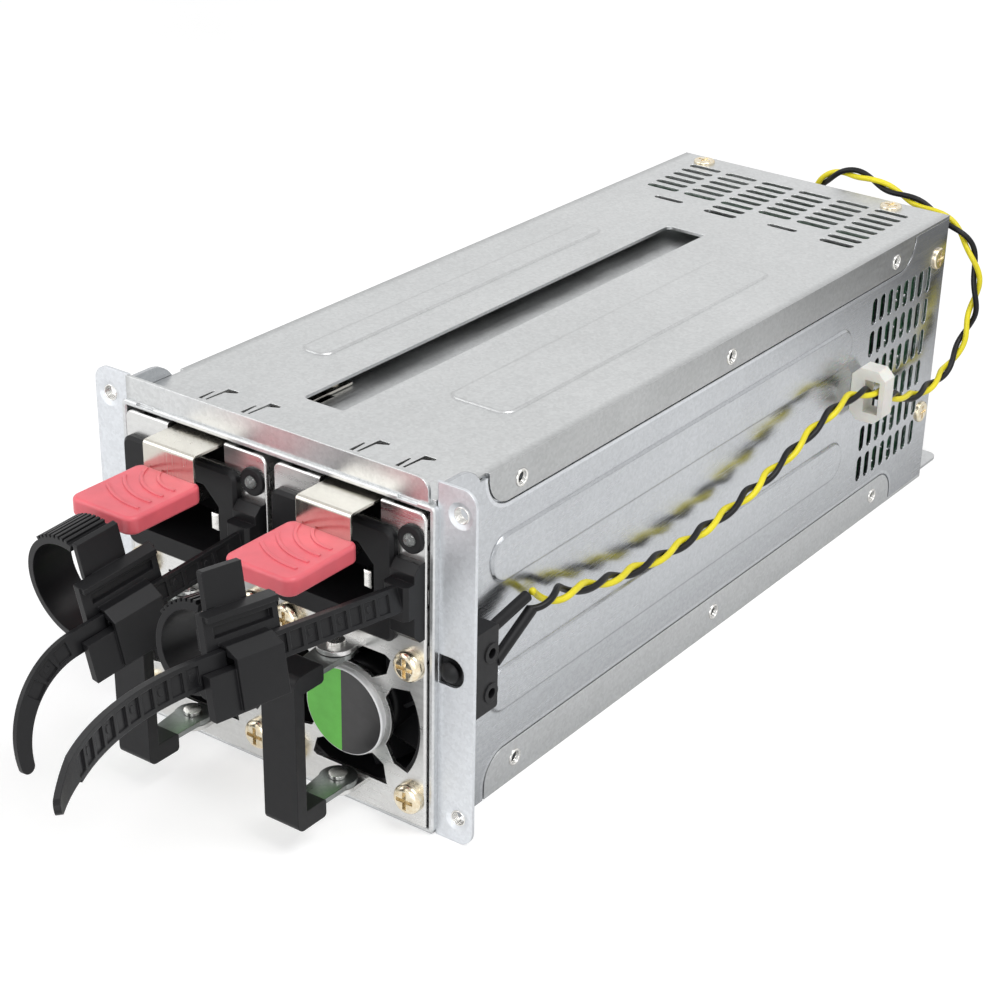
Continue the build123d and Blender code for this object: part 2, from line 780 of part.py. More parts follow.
def lead_saddle():
    """White saddle clipped into the side panel; the lead passes through its eye."""
    base_x = cage_half_width + 0.05
    eye_x = 48.1
    outer = 9.6
    body = block(base_x, base_x + outer, saddle_y - 2.7, saddle_y + 2.7, saddle_z - 7.3, saddle_z + 7.3)
    body = chamfer(body.edges().filter_by(Axis.Y), 2.2)
    body -= block(eye_x - 2.1, eye_x + 2.1, saddle_y - 9, saddle_y + 9, saddle_z - 4.6, saddle_z + 4.4)
    body += rod("X", saddle_stud_radius, side_inner - 0.3, base_x + 0.5, saddle_y, saddle_z)
    return one_solid(body)


# Power module pieces, built in the module's own frame with its middle at X 0

def side_windows():
    """Window heights in the edge of the front plate, with their bright tongues."""
    return [module_floor + share * module_height for share in (0.57, 0.745, 0.925)]


def guard_openings():
    """Four openings round the guard disc, left between curved arms."""
    ring = Pos(0, fan_z) * (Circle(guard_opening_radius) - Circle(guard_disc_radius))
    half = module_width / 2 - 0.9
    (_, low_lug_top), (high_lug_bottom, _) = lug_heights()
    ring &= rectangle(-half, half, low_lug_top + 0.6, high_lug_bottom - 0.6)
    for quarter in range(4):
        angle = 45 + 90 * quarter
        reach = guard_opening_radius + 2
        arm = Polygon((guard_disc_radius - 3, -guard_arm_width * 0.9),
                      (guard_disc_radius + 3, -guard_arm_width * 0.45),
                      (reach, -guard_arm_width * 1.7), (reach, guard_arm_width * 1.2),
                      (guard_disc_radius + 4, guard_arm_width * 0.35),
                      (guard_disc_radius - 3, guard_arm_width * 0.9),
                      align=None)
        ring -= Pos(0, fan_z) * Rot(0, 0, angle) * arm
    for x, z in fan_hole_places():
        ring -= Pos(x, z) * Circle(4.4)
    return ring


def front_plate():
    """Plated front plate: fan guard, inlet cut-out, latch slot, handle lugs, folded edges."""
    half = module_width / 2
    outline = soft_rectangle(-half, half, module_floor, module_top, plate_corner)
    outline += rectangle(-half, half, module_floor, module_floor + 10)
    slot_half = latch_width / 2 + 0.9
    latch_slot = rectangle(latch_centre_x - slot_half, latch_centre_x + slot_half,
                           latch_z - 3.9, module_top + 1)
    inlet_hole = rectangle(inlet_centre_x - inlet_width / 2 + 1.5, inlet_centre_x + inlet_width / 2 - 1.5,
                           inlet_centre_z - inlet_height / 2 + 1.2, inlet_centre_z + inlet_height / 2 - 1.2)
    anchor_x = anchor_left + anchor_width / 2
    anchor_hole = rectangle(anchor_x - 1.5, anchor_x + 1.5, strap_z - 2.0, strap_z + 2.0)
    lamp_hole = Pos(lamp_x, lamp_z) * Circle(lamp_ring_radius - 1.15)
    cuts = latch_slot + inlet_hole + anchor_hole + lamp_hole + guard_openings()
    for x, z in fan_hole_places():
        cuts += Pos(x, z) * Circle(1.75)
    plate = front_sheet(outline - cuts, plate_y, case_front)
    rear = case_front + plate_return
    ring = soft_rectangle(-half, half, module_floor, module_top, plate_corner)
    ring += rectangle(-half, half, module_floor, module_floor + 10)
    hollow = rectangle(-half + plate_sheet, half - plate_sheet, module_floor - 1, module_top - plate_sheet)
    fold = front_sheet(ring - hollow - latch_slot, case_front, rear)
    plate += fold
    edges = plate.faces().sort_by(Axis.Y)[0].outer_wire().edges()
    plate = fillet(edges.filter_by(Axis.Z).filter_by(lambda edge: edge.length > 20), 0.5)
    for side in (-1, 1):
        for z in side_windows():
            x = side * half
            window = block(x - 1.0, x + 1.0, plate_y + 0.5, plate_y + 4.5, z - 2.6, z + 2.6)
            tongue = block(x - side * plate_sheet, x - side * 0.15, plate_y + 1.1, plate_y + 5.0,
                           z - 1.6, z + 1.6)
            plate = plate - window + tongue
    for x in (-half + 6.2, half - 6.2):
        plate -= block(x - 2.4, x + 2.4, plate_y + 0.4, plate_y + 2.6, module_top - 1.0, module_top + 1)
    for low, high in lug_heights():
        lug = Pos(0, pivot_y) * Circle(leaf_radius)
        lug += rectangle(-leaf_radius, leaf_radius, pivot_y, case_front)
        plate += top_sheet(lug, low, high)
        plate -= rod("Z", rivet_radius, low - 1, high + 1, 0, pivot_y)
    return one_solid(plate)


def leaf_heights():
    """Lower and upper leaf of the handle, as low and high z."""
    lower = handle_low_z + 2.1
    upper = handle_high_z - 2.1
    return ((lower, lower + leaf_sheet), (upper - leaf_sheet, upper))


def lug_heights():
    """Lugs of the front plate, under the lower leaf and over the upper leaf."""
    (low, _), (_, high) = leaf_heights()
    return ((low - lug_gap - lug_sheet, low - lug_gap), (high + lug_gap, high + lug_gap + lug_sheet))


def module_case():
    """Case of the module: open front, vented rear, window over the latch spring, slot for the card."""
    rear = module_rear
    half = case_half_width
    box = block(-half, half, case_front, rear, module_floor, case_top)
    inner = case_sheet
    box -= block(-half + inner, half - inner, case_front - 1, rear - inner,
                 module_floor + inner, case_top - inner)
    window_half = latch_width / 2 + 0.9
    box -= block(latch_centre_x - window_half, latch_centre_x + window_half,
                 case_front - 1, latch_pivot_y - 1.0, case_top - 2, case_top + 1)
    box -= block(card_x - board_sheet / 2 - 0.3, card_x + board_sheet / 2 + 0.3, rear - 2, rear + 1,
                 card_z - card_width / 2 - 0.3, card_z + card_width / 2 + 0.3)
    holes = Sketch()
    for column in range(5):
        for row in range(13):
            x = -6.4 + column * 5.0
            z = module_floor + 6.5 + row * 5.0
            holes += Pos(x, z) * RegularPolygon(1.9, 6)
    box -= front_sheet(holes, rear - 2, rear + 1)
    slots = Sketch()
    for number in range(12):
        slots += slot_shape(40 + number * 5.0, fan_z, 16.0, 2.0, True)
    box -= side_sheet(slots, -half - 1, -half + 1)
    return one_solid(box)


def fan_frame():
    """Square fan frame with its bore, screw eyes, motor base and struts."""
    half = fan_size / 2
    front = case_front
    outline = soft_rectangle(-half, half, fan_z - half, fan_z + half, 2.0)
    frame = front_sheet(outline, front, front + fan_depth)
    frame -= rod("Y", fan_bore_radius, front - 1, front + fan_depth + 1, 0, fan_z)
    around = rectangle(-half - 1, half + 1, fan_z - half - 1, fan_z + half + 1)
    waist = front_sheet(around, front + 4, front + fan_depth - 4)
    waist -= rod("Y", fan_bore_radius + 1.0, front, front + fan_depth, 0, fan_z)
    for x, z in fan_hole_places():
        waist -= front_sheet(Pos(x, z) * Circle(2.6), front, front + fan_depth)
    frame -= waist
    for x, z in fan_hole_places():
        frame -= rod("Y", 1.6, front - 1, front + fan_depth + 1, x, z)
    base_y = front + fan_depth - 3.5
    frame += rod("Y", fan_hub_radius, base_y, front + fan_depth, 0, fan_z)
    for number in range(4):
        strut = block(-1.0, 1.0, base_y, front + fan_depth, fan_hub_radius - 1, fan_bore_radius + 0.6)
        strut -= block(-3, 3, base_y - 1, base_y + 40, -1, 0)
        turned = Pos(0, 0, fan_z) * Rot(0, 90 * number + 20, 0) * strut
        frame += turned
    frame -= rod("Y", fan_shaft_radius + fan_shaft_clearance, base_y - 1, base_y + 2.8, 0, fan_z)
    return one_solid(frame)


def fan_rotor():
    """Hub with seven raked blades and its shaft."""
    front = case_front + 3.0
    depth = fan_depth - 3.5 - 3.0 - 0.5
    hub = rod("Y", fan_hub_radius, front, front + depth, 0, 0)
    hub = fillet(hub.edges().filter_by(GeomType.CIRCLE).sort_by(Axis.Y)[:1], 1.5)
    rotor = hub
    tip = fan_bore_radius - fan_blade_clearance
    for number in range(fan_blade_count):
        blade = Pos(0, front + depth / 2, (fan_hub_radius - 1 + tip) / 2) * Rot(0, 0, 32)
        blade = blade * Box(1.1, depth * 0.98, tip - fan_hub_radius + 1)
        rotor += Rot(0, number * 360 / fan_blade_count, 0) * blade
    sleeve = rod("Y", tip, front, front + depth, 0, 0)
    rotor &= sleeve
    rotor += rod("Y", fan_shaft_radius, front + depth - 0.5, front + depth + 2.6, 0, 0)
    return one_solid(Pos(0, 0, fan_z) * rotor)


def fan_label():
    """Round label on its puck in the middle of the guard."""
    puck = rod("Y", label_radius - 0.8, plate_y - label_standoff, plate_y, 0, fan_z)
    disc_rear = plate_y - label_standoff
    disc = rod("Y", label_radius, disc_rear - label_thickness, disc_rear, 0, fan_z)
    disc = fillet(disc.edges().filter_by(GeomType.CIRCLE).sort_by(Axis.Y)[:1], 0.35)
    return one_solid(puck + disc)


def plate_screws():
    """Four pan head screws that hold the fan to the front plate."""
    return Compound([screw("Y", -1, plate_y, x, z, 3.5, 1.55, 8.0, 2.4) for x, z in fan_hole_places()])


def cavity_outline(grow):
    """Inlet cavity outline with two cut upper corners."""
    half_w = cavity_width / 2 + grow
    half_h = cavity_height / 2 + grow
    cut = cavity_chamfer
    shape = Polygon((-half_w, -half_h), (half_w, -half_h), (half_w, half_h - cut), (half_w - cut, half_h),
                    (-half_w + cut, half_h), (-half_w, half_h - cut), align=None)
    return fillet(shape.vertices().sort_by(Axis.Y)[:2], 1.6)


def pin_places():
    """Centres of the three contact pins, relative to the middle of the inlet."""
    return ((-pin_pitch / 2, -pin_offset), (pin_pitch / 2, -pin_offset), (0, pin_offset))


def inlet_housing():
    """Black inlet: front rim, hollow body and holes that seat the three pins."""
    w = inlet_width / 2
    h = inlet_height / 2
    rim = front_sheet(soft_rectangle(-w, w, -h, h, 2.2), plate_y - inlet_proud, plate_y)
    rim = chamfer(rim.faces().sort_by(Axis.Y)[0].outer_wire().edges(), 0.7)
    body = front_sheet(rectangle(-w + 1.6, w - 1.6, -h + 1.3, h - 1.3), plate_y, plate_y + inlet_body_depth)
    housing = rim + body
    front = plate_y - inlet_proud
    housing -= front_sheet(cavity_outline(0), front - 1, front + cavity_depth)
    for x, z in pin_places():
        housing -= block(x - pin_width / 2, x + pin_width / 2, front, plate_y + inlet_body_depth + 1,
                         z - pin_height / 2, z + pin_height / 2)
    return one_solid(Pos(inlet_centre_x, 0, inlet_centre_z) * housing)


def inlet_pins():
    """Three flat contact pins seated in the inlet."""
    found = []
    front = plate_y - inlet_proud + pin_tip_recess
    for x, z in pin_places():
        pin = block(x - pin_width / 2, x + pin_width / 2, front, plate_y + inlet_body_depth + 4,
                    z - pin_height / 2, z + pin_height / 2)
        pin = chamfer(pin.faces().sort_by(Axis.Y)[0].edges(), 0.5)
        found.append(Pos(inlet_centre_x, 0, inlet_centre_z) * pin)
    return Compound(found)


def lamp_ring():
    """Black ring that holds the status lens in the plate."""
    ring = rod("Y", lamp_ring_radius, plate_y - 0.9, plate_y, lamp_x, lamp_z)
    ring = fillet(ring.edges().filter_by(GeomType.CIRCLE).sort_by(Axis.Y)[:1], 0.4)
    ring += rod("Y", lamp_ring_radius - 1.2, plate_y - 0.1, case_front + 4.0, lamp_x, lamp_z)
    return one_solid(ring - rod("Y", lamp_lens_radius, plate_y - 2, case_front + 5.0, lamp_x, lamp_z))


def lamp_lens():
    """Clear domed lens of the status lamp."""
    stem = rod("Y", lamp_lens_radius, plate_y - 0.6, case_front + 4.0, lamp_x, lamp_z)
    dome = Pos(lamp_x, plate_y - 0.6, lamp_z) * Sphere(lamp_lens_radius)
    dome &= rod("Y", lamp_lens_radius, plate_y - 3, plate_y, lamp_x, lamp_z)
    return one_solid(stem + dome)


def latch_spring():
    """Latch strip: riveted tail, long flat, forward reach, then a drop into the plastic tab."""
    x0 = latch_centre_x - latch_width / 2
    x1 = latch_centre_x + latch_width / 2
    front = plate_y - latch_reach
    low = latch_z
    high = latch_z + latch_sheet
    foot = low - latch_drop
    strip = block(x0, x1, front, latch_pivot_y + latch_tail, low, high)
    strip += block(x0, x1, front, front + latch_sheet, foot, high)
    strip += block(x0 + 1.5, x1 - 1.5, front - 9.0, front + latch_sheet, foot, foot + latch_sheet)
    bend = strip.edges().filter_by(Axis.X).filter_by_position(Axis.Y, front - 0.01, front + 0.01)
    bend = bend.filter_by_position(Axis.Z, high - 0.01, high + 0.01)
    strip = fillet(bend, latch_sheet * 1.6)
    tooth = Polygon((0, 0), (5.0, 0), (5.0, 0.5), align=None)
    wedge = side_sheet(Pos(8.0, high) * tooth, latch_centre_x - 3.0, latch_centre_x + 3.0)
    strip += wedge
    for side in (-1, 1):
        strip += rod("Z", 1.6, high, high + 0.5, latch_centre_x + side * 3.6, latch_pivot_y + latch_tail / 2)
    return one_solid(strip)


def latch_tab():
    """Coloured finger tab moulded on the latch strip, with four curved grip ridges."""
    x0 = latch_centre_x - tab_width / 2
    x1 = latch_centre_x + tab_width / 2
    top = latch_z - latch_drop + 2.6
    rear = plate_y - latch_reach + latch_sheet + 0.4
    front = rear - tab_length
    outline = soft_rectangle(x0, x1, front, rear, 2.4)
    tab = top_sheet(outline, top - tab_thickness, top)
    tab = fillet(tab.faces().sort_by(Axis.Z)[-1].edges(), 0.9)
    tab = fillet(tab.faces().sort_by(Axis.Z)[0].edges(), 0.6)
    centre = (latch_centre_x + tab_width * 0.3, rear + 2.0)
    for number in range(4):
        radius = 8.0 + number * 3.4
        ridge = Pos(*centre) * (Circle(radius + 0.35) - Circle(radius - 0.35))
        ridge &= soft_rectangle(x0 + 2.4, x1 - 2.4, front + 2.2, rear - 1.4, 1.0)
        tab += top_sheet(ridge, top - 0.3, top + 0.28)
    tab -= latch_spring()
    return one_solid(tab)


def handle_leaves():
    """Two zinc plated leaves of the handle, with their pivot holes."""
    found = []
    grip_y = pivot_y - handle_reach + handle_bar + 6.0
    for low, high in leaf_heights():
        shape = Pos(0, pivot_y) * Circle(leaf_radius)
        neck = Polygon((-2.6, grip_y - 4.0), (3.6, grip_y - 4.0), (3.6, grip_y), (leaf_radius * 0.92, pivot_y),
                       (-leaf_radius * 0.92, pivot_y), (-2.6, grip_y), align=None)
        shape += neck
        shape -= Pos(0, pivot_y) * Circle(rivet_radius + rivet_clearance)
        found.append(top_sheet(shape, low, high).solids()[0])
    return Compound(found)


def handle_grip():
    """Black pull handle: upright bar with a short leg at each end, moulded over the leaves."""
    half = handle_width / 2
    front = pivot_y - handle_reach
    rear = front + handle_bar
    leg_end = rear + 6.0
    profile = rectangle(front, rear, handle_low_z, handle_high_z)
    profile += rectangle(front, leg_end, handle_low_z, handle_low_z + handle_leg)
    profile += rectangle(front, leg_end, handle_high_z - handle_leg, handle_high_z)
    grip = side_sheet(profile, -half, half)
    corners = grip.edges().filter_by(Axis.X).filter_by_position(Axis.Y, front - 0.01, front + 0.01)
    grip = fillet(corners, 2.0)
    ends = grip.edges().filter_by(Axis.X).filter_by_position(Axis.Y, leg_end - 0.01, leg_end + 0.01)
    grip = fillet(ends, 0.8)
    grip -= handle_leaves()
    return one_solid(grip)


def handle_rivets():
    """Rivets that join the leaves to the lugs of the front plate."""
    found = []
    (low_leaf, high_leaf), (low_lug, high_lug) = leaf_heights(), lug_heights()
    for leaf, lug in ((low_leaf, low_lug), (high_leaf, high_lug)):
        bottom = min(leaf[0], lug[0])
        top = max(leaf[1], lug[1])
        pin = rod("Z", rivet_radius, bottom - 0.1, top + 0.1, 0, pivot_y)
        pin += rod("Z", rivet_head_radius, bottom - 0.9, bottom - (0.1 if leaf[0] < lug[0] else 0), 0, pivot_y)
        pin += rod("Z", rivet_head_radius, top + (0 if lug[1] > leaf[1] else 0.1), top + 0.9, 0, pivot_y)
        found.append(pin)
    return Compound(found)


# Cord retainer, built along its strap: the strap runs towards -Y from its root and leans to the left

class Retainer:
    """How one retainer lies: its three turns, clamp place, loop size, straight run and curl."""

    def __init__(self, turns, clamp_start, loop_radius, straight, curl_radius, curl_angle):
        self.tilt, self.yaw, self.roll = turns
        self.clamp_start = clamp_start
        self.loop_radius = loop_radius
        self.straight = straight
        self.curl_radius = curl_radius
        self.curl_angle = curl_angle

    def placed(self, shape):
        """Turn a piece from the strap's frame into the module's frame."""
        turned = Rot(0, 0, self.yaw) * Rot(-self.tilt, 0, 0) * Rot(0, self.roll, 0) * shape
        return Pos(strap_x, strap_root_y, strap_z) * turned


strap_root_y = plate_y - 1.0
# The left strap droops in front of its own module, clear of the way of the right one.
retainers = {-1: Retainer((-5.8, -3.0, 11.5), 29.1, 11.8, 49.5, 16.5, 94.0),
             1: Retainer((9.0, 0.0, 3.0), 42.2, 8.8, 60.0, 82.0, 40.6)}
lean_angle = math.radians(strap_lean)
strap_gap_x = strap_thickness / 2 + clamp_clearance
strap_gap_z = strap_width / 2 + clamp_clearance


def lean_shift(z):
    """How far the leaning frame has moved along x at a height."""
    return -z * math.tan(lean_angle)


def leaning(sketch, z0, z1):
    """Extrude a top-view sketch between two heights along the strap's lean."""
    way = (-math.sin(lean_angle), 0, math.cos(lean_angle))
    plane = Plane(origin=(lean_shift(z0), 0, z0))
    return extrude(plane * sketch, amount=(z1 - z0) / math.cos(lean_angle), dir=way)


def leaning_block(x0, x1, y0, y1, z0, z1):
    """Block whose sides lean with the strap."""
    return leaning(rectangle(x0, x1, y0, y1), z0, z1)


def sector(shape, reach):
    """Wedge of the curl's angle around the curl's centre."""
    centre = (shape.curl_radius, -shape.straight)
    corners = [centre]
    for share in (0, 0.33, 0.67, 1):
        turn = math.radians(shape.curl_angle) * share
        far = reach if share in (0, 1) else 1.2 * reach
        corners.append((centre[0] - far * math.cos(turn), centre[1] - far * math.sin(turn)))
    return Polygon(*corners, align=None)


def strap_cells(shape, cell, last):
    """Ladder pockets along the straight run and the first part of the curl."""
    cells = Sketch()
    for number in range(int((shape.straight - 12) / strap_pitch)):
        cells += Pos(0, -10.0 - number * strap_pitch) * cell
    arc_length = shape.curl_radius * math.radians(shape.curl_angle) - last
    for number in range(int(arc_length / strap_pitch)):
        turn = math.degrees((number + 0.8) * strap_pitch / shape.curl_radius)
        centre = Pos(shape.curl_radius, -shape.straight)
        cells += centre * Rot(0, 0, turn) * Pos(-shape.curl_radius, 0) * cell
    return cells


def drooping_band(shape):
    """Strap that bends down in its own flat plane and narrows all along its curl."""
    half = strap_thickness / 2
    high = strap_width / 2
    flat_plane = Plane(origin=(0, 0, 0), x_dir=(math.sin(lean_angle), 0, -math.cos(lean_angle)),
                       z_dir=(math.cos(lean_angle), 0, math.sin(lean_angle)))
    centre = Pos(shape.curl_radius, -shape.straight)
    narrowing = 0.9 * (strap_width - strap_tip_width)
    outer = shape.curl_radius + high
    inner = shape.curl_radius - high + narrowing
    ring = centre * (Circle(outer) - Pos(narrowing, 0) * Circle(inner)) & sector(shape, outer + 4)
    outline = rectangle(-high, high, -shape.straight, -2.0) + ring
    body = extrude(flat_plane * outline, amount=half, both=True)
    cell = rectangle(-strap_cell_high / 2, strap_cell_high / 2, -strap_cell_long / 2, strap_cell_long / 2)
    cells = strap_cells(shape, cell, strap_taper)
    body -= extrude(flat_plane.offset(half - strap_cell_deep) * cells, amount=1.0)
    turn = math.radians(shape.curl_angle)
    tip_inner = math.sqrt(inner ** 2 - (narrowing * math.sin(turn)) ** 2) - narrowing * math.cos(turn)
    tip = centre * Rot(0, 0, shape.curl_angle) * Pos(-(outer + tip_inner) / 2, 0) * Circle((outer - tip_inner) / 2)
    return body + extrude(flat_plane * tip, amount=half, both=True)


def curling_band(shape):
    """Strap that curls sideways over its flat face, with a narrowed round tip."""
    half = strap_thickness / 2
    radius = shape.curl_radius
    centre = Pos(radius, -shape.straight)
    ring = centre * (Circle(radius + half) - Circle(radius - half)) & sector(shape, radius + 10)
    run = rectangle(-half, half, -shape.straight, -2.0)
    body = leaning(run + ring, -strap_width / 2, strap_width / 2)
    cell = rectangle(half - strap_cell_deep, half + 1, -strap_cell_long / 2, strap_cell_long / 2)
    cells = strap_cells(shape, cell, strap_taper)
    body -= leaning(cells, -strap_cell_high / 2, strap_cell_high / 2)
    turn = math.radians(shape.curl_angle)
    along = Vector(math.sin(turn), -math.cos(turn), 0)
    way = Vector(-math.sin(lean_angle), 0, math.cos(lean_angle))
    tip = (radius * (1 - math.cos(turn)), -shape.straight - radius * math.sin(turn), 0)
    side_plane = Plane(origin=tip, x_dir=along, z_dir=along.cross(way))
    high = strap_width / 2 + 0.1
    tip_radius = strap_tip_width / 2
    kept = Polygon((-strap_taper, -high), (-tip_radius, -tip_radius), (-tip_radius, tip_radius),
                   (-strap_taper, high), align=None)
    kept += Pos(-tip_radius, 0) * Circle(tip_radius)
    waste = rectangle(-strap_taper, 3.0, -2 * high, 2 * high) - kept
    return body - extrude(side_plane * waste, amount=6.0, both=True)


def strap(side):
    """Ladder strap with its anchor pushed into the front plate, bent at its free end."""
    shape = retainers[side]
    body = drooping_band(shape) if side < 0 else curling_band(shape)
    body = shape.placed(body)
    front = plate_y - anchor_depth
    x0 = anchor_left
    x1 = anchor_left + anchor_width
    foot = block(x0, x1, front, plate_y, anchor_low_z, anchor_high_z)
    foot = chamfer(foot.edges().filter_by(Axis.X).filter_by_position(Axis.Y, front - 0.01, front + 0.01), 1.8)
    boss_front = plate_y - anchor_boss_depth
    boss = block(x0, x1, boss_front, plate_y, strap_z - 4.2, strap_z + 3.4)
    corners = boss.edges().filter_by(Axis.Z)
    boss = chamfer(corners.filter_by_position(Axis.Y, boss_front - 0.01, boss_front + 0.01), 0.8)
    middle_x = anchor_left + anchor_width / 2
    stem = block(middle_x - 1.5, middle_x + 1.5, plate_y - 0.5, case_front + 0.4,
                 strap_z - 2.0, strap_z + 2.0)
    barbs = block(middle_x - 1.1, middle_x + 1.1, case_front, case_front + 6.0, strap_z - 1.6, strap_z + 1.6)
    return one_solid(body + foot + boss + stem + barbs)


def loop_centre(side):
    """Centre of the loop ring in the strap's frame, as x and z."""
    angle = math.radians(loop_root_angle)
    radius = retainers[side].loop_radius - loop_wall / 2
    return loop_root_x - radius * math.cos(angle), loop_root_z - radius * math.sin(angle)


def loop_depths(side):
    """Front and rear of the loop band in the strap's frame."""
    rear = -retainers[side].clamp_start - 2.2
    return rear - loop_width, rear


def clamp_box(y0, y1):
    """Ratchet box of the clamp: leaning side walls, sloping roof, channel for the strap."""
    right = clamp_box_right
    left = -strap_gap_x - clamp_wall
    roof = strap_gap_z + 0.5
    walls = Polygon((left + lean_shift(roof), roof), (strap_gap_x + lean_shift(roof), roof),
                    (right + lean_shift(roof - 1.4), roof - 1.4),
                    (right + lean_shift(clamp_box_low), clamp_box_low),
                    (left + lean_shift(clamp_box_low), clamp_box_low), align=None)
    box = front_sheet(walls, y0, y1)
    mouth = leaning_block(-strap_gap_x, right - 0.9, y0 - 1, y0 + 8.0, clamp_box_low + 1.0, strap_gap_z - 1.2)
    return box - mouth


def clamp_slider(side):
    """Sliding clamp body: strap channel, ratchet box, windowed plate, release flap and hinge ears."""
    shape = retainers[side]
    y1 = -shape.clamp_start
    y0 = y1 - clamp_length
    left = -strap_gap_x - clamp_wall
    slider = clamp_box(y0, y1)
    slider += leaning_block(left, -strap_gap_x, y0 - 3.1, y1 + 4.0, -strap_gap_z, 8.5)
    slider += leaning_block(left, -strap_gap_x, y0 - 3.1, y1, clamp_box_low, -strap_gap_z + 0.1)
    slider -= leaning_block(left + 0.5, -strap_gap_x + 1, y0 - 0.8, y1 + 2.6, 4.2, 6.1)
    slider += leaning_block(left, -strap_gap_x + 1.1, y0 - 2.8, y1 + 3.6, 7.5, 8.5)
    flap = leaning_block(left - 1.4, left - 0.2, y0 + 0.1, y1 - 1.8, 7.6, 14.8)
    slider += fillet(flap.edges().filter_by(GeomType.LINE).group_by(Axis.Z)[-1].sort_by(Axis.Y)[:1], 0.4)
    slider += leaning_block(left - 1.4, left + 0.4, y0 + 1.9, y1 - 3.5, 6.8, 8.4)
    slider += leaning_block(left - 1.6, left + 0.2, y0 - 2.0, y0 + 2.5, 1.4, 5.2)
    slider -= leaning_block(-strap_gap_x, strap_gap_x, y0 - 10, y1 + 10, -strap_gap_z, strap_gap_z)
    slider += leaning_block(strap_gap_x + 0.15, clamp_box_right - 0.7, y0 - 6.8, y0 + 4.4,
                            clamp_box_low - 0.6, 0.1)
    front, rear = loop_depths(side)
    inner_x = left + lean_shift(loop_root_z) + 0.4
    for ear0, ear1 in ((rear + hinge_end_gap, rear + hinge_end_gap + hinge_ear),
                       (front - hinge_end_gap - hinge_ear, front - hinge_end_gap)):
        ear = rod("Y", knuckle_radius, ear0, ear1, loop_root_x, loop_root_z)
        ear += block(loop_root_x, inner_x, ear0, ear1, loop_root_z - knuckle_radius, loop_root_z + knuckle_radius)
        slider += ear
    slider += rod("Y", hinge_pin_radius, front - 1, rear + 1, loop_root_x, loop_root_z)
    return one_solid(shape.placed(slider))


def clamp_loop(side):
    """Plug loop: an open ring on its hinge knuckle, with ratchet teeth near the free end."""
    shape = retainers[side]
    front, rear = loop_depths(side)
    centre_x, centre_z = loop_centre(side)
    radius = shape.loop_radius
    ring = Pos(centre_x, centre_z) * (Circle(radius) - Circle(radius - loop_wall))
    far = 3 * radius
    low = math.radians(loop_root_angle)
    high = math.radians(loop_end_angle)
    corners = [(centre_x, centre_z)]
    for angle in (low, (low + high) / 2, high):
        corners.append((centre_x + far * math.cos(angle), centre_z + far * math.sin(angle)))
    ring -= Polygon(*corners, align=None)
    tooth_turn = math.degrees(loop_tooth_pitch / radius)
    for number in range(8):
        degrees = loop_end_angle + 7 + number * tooth_turn
        angle = math.radians(degrees)
        tooth = Pos(centre_x + radius * math.cos(angle), centre_z + radius * math.sin(angle))
        ring += tooth * Rot(0, 0, degrees) * Rectangle(1.3, 0.7)
    ring += Pos(loop_root_x, loop_root_z) * Circle(knuckle_radius)
    ring -= Pos(loop_root_x, loop_root_z) * Circle(hinge_pin_radius + hinge_clearance)
    return one_solid(shape.placed(front_sheet(ring, front, rear)))


def main_board():
    """Main board of the module; its rear edge is the plug-in card edge."""
    low = module_floor + case_sheet + 0.2
    high = case_top - case_sheet - 0.2
    x0 = card_x - board_sheet / 2
    x1 = card_x + board_sheet / 2
    board = block(x0, x1, case_front + fan_depth + 3.0, module_rear - case_sheet - 0.6, low, high)
    card = block(x0, x1, module_rear - 6.0, module_rear + card_reach,
                 card_z - card_width / 2, card_z + card_width / 2)
    return one_solid(board + card)


def board_parts():
    """Transformer, bulk capacitors, heat sinks and choke on the main board."""
    x = card_x + board_sheet / 2
    found = []
    start = case_front + fan_depth + 8.0
    for number in range(2):
        found.append(rod("X", 11.0, x, x + 27.0, start + 14.0 + number * 23.5, fan_z - 6.0))
    for number in range(2):
        y = start + 2.0 + number * 62.0
        sink = block(x, x + 26.0, y, y + 46.0, 48.0 + number * 6.0, 50.0 + number * 6.0)
        for fin in range(5):
            sink += block(x + 5.0 + fin * 4.6, x + 6.0 + fin * 4.6, y, y + 46.0, 50.0 + number * 6.0 - 0.1,
                          60.0 + number * 6.0)
        found.append(one_solid(sink))
    transformer = block(x, x + 24.0, start + 62.0, start + 94.0, 10.0, 40.0)
    transformer += block(x + 4.0, x + 20.0, start + 58.0, start + 98.0, 15.0, 35.0)
    found.append(one_solid(transformer))
    choke = rod("X", 12.0, x, x + 13.0, start + 116.0, 26.0)
    choke -= rod("X", 5.0, x + 2.0, x + 14.0, start + 116.0, 26.0)
    found.append(one_solid(choke))
    return Compound(found)


def save(name, shape):
    """Write one node; a group keeps its separate solids."""
    shape.label = name
    export_step(shape, os.path.join("parts", name + ".step"))


def save_cage():
    """Write the nodes of the cage."""
    save("side_panel_left", side_panel(True))
    save("side_panel_right", side_panel(False))
    save("top_cover", top_cover())
    save("base_panel", base_panel())
    save("front_rim", front_rim())
    save("rear_panel", rear_panel())
    save("harness_bushing", harness_bushing())
    save("lead_bushing", lead_bushing())
    save("cage_screws", cage_screws())
    save("backplane_board", backplane_board())
    save("bay_sockets", bay_sockets())
    save("distribution_board", distribution_board())
    save("rear_bay_parts", rear_bay_parts())
    save("alarm_switch", alarm_switch())
    save("alarm_button", alarm_button())
    save("alarm_sleeves", alarm_sleeves())
    save("alarm_lead", alarm_lead())
    save("lead_saddle", lead_saddle())


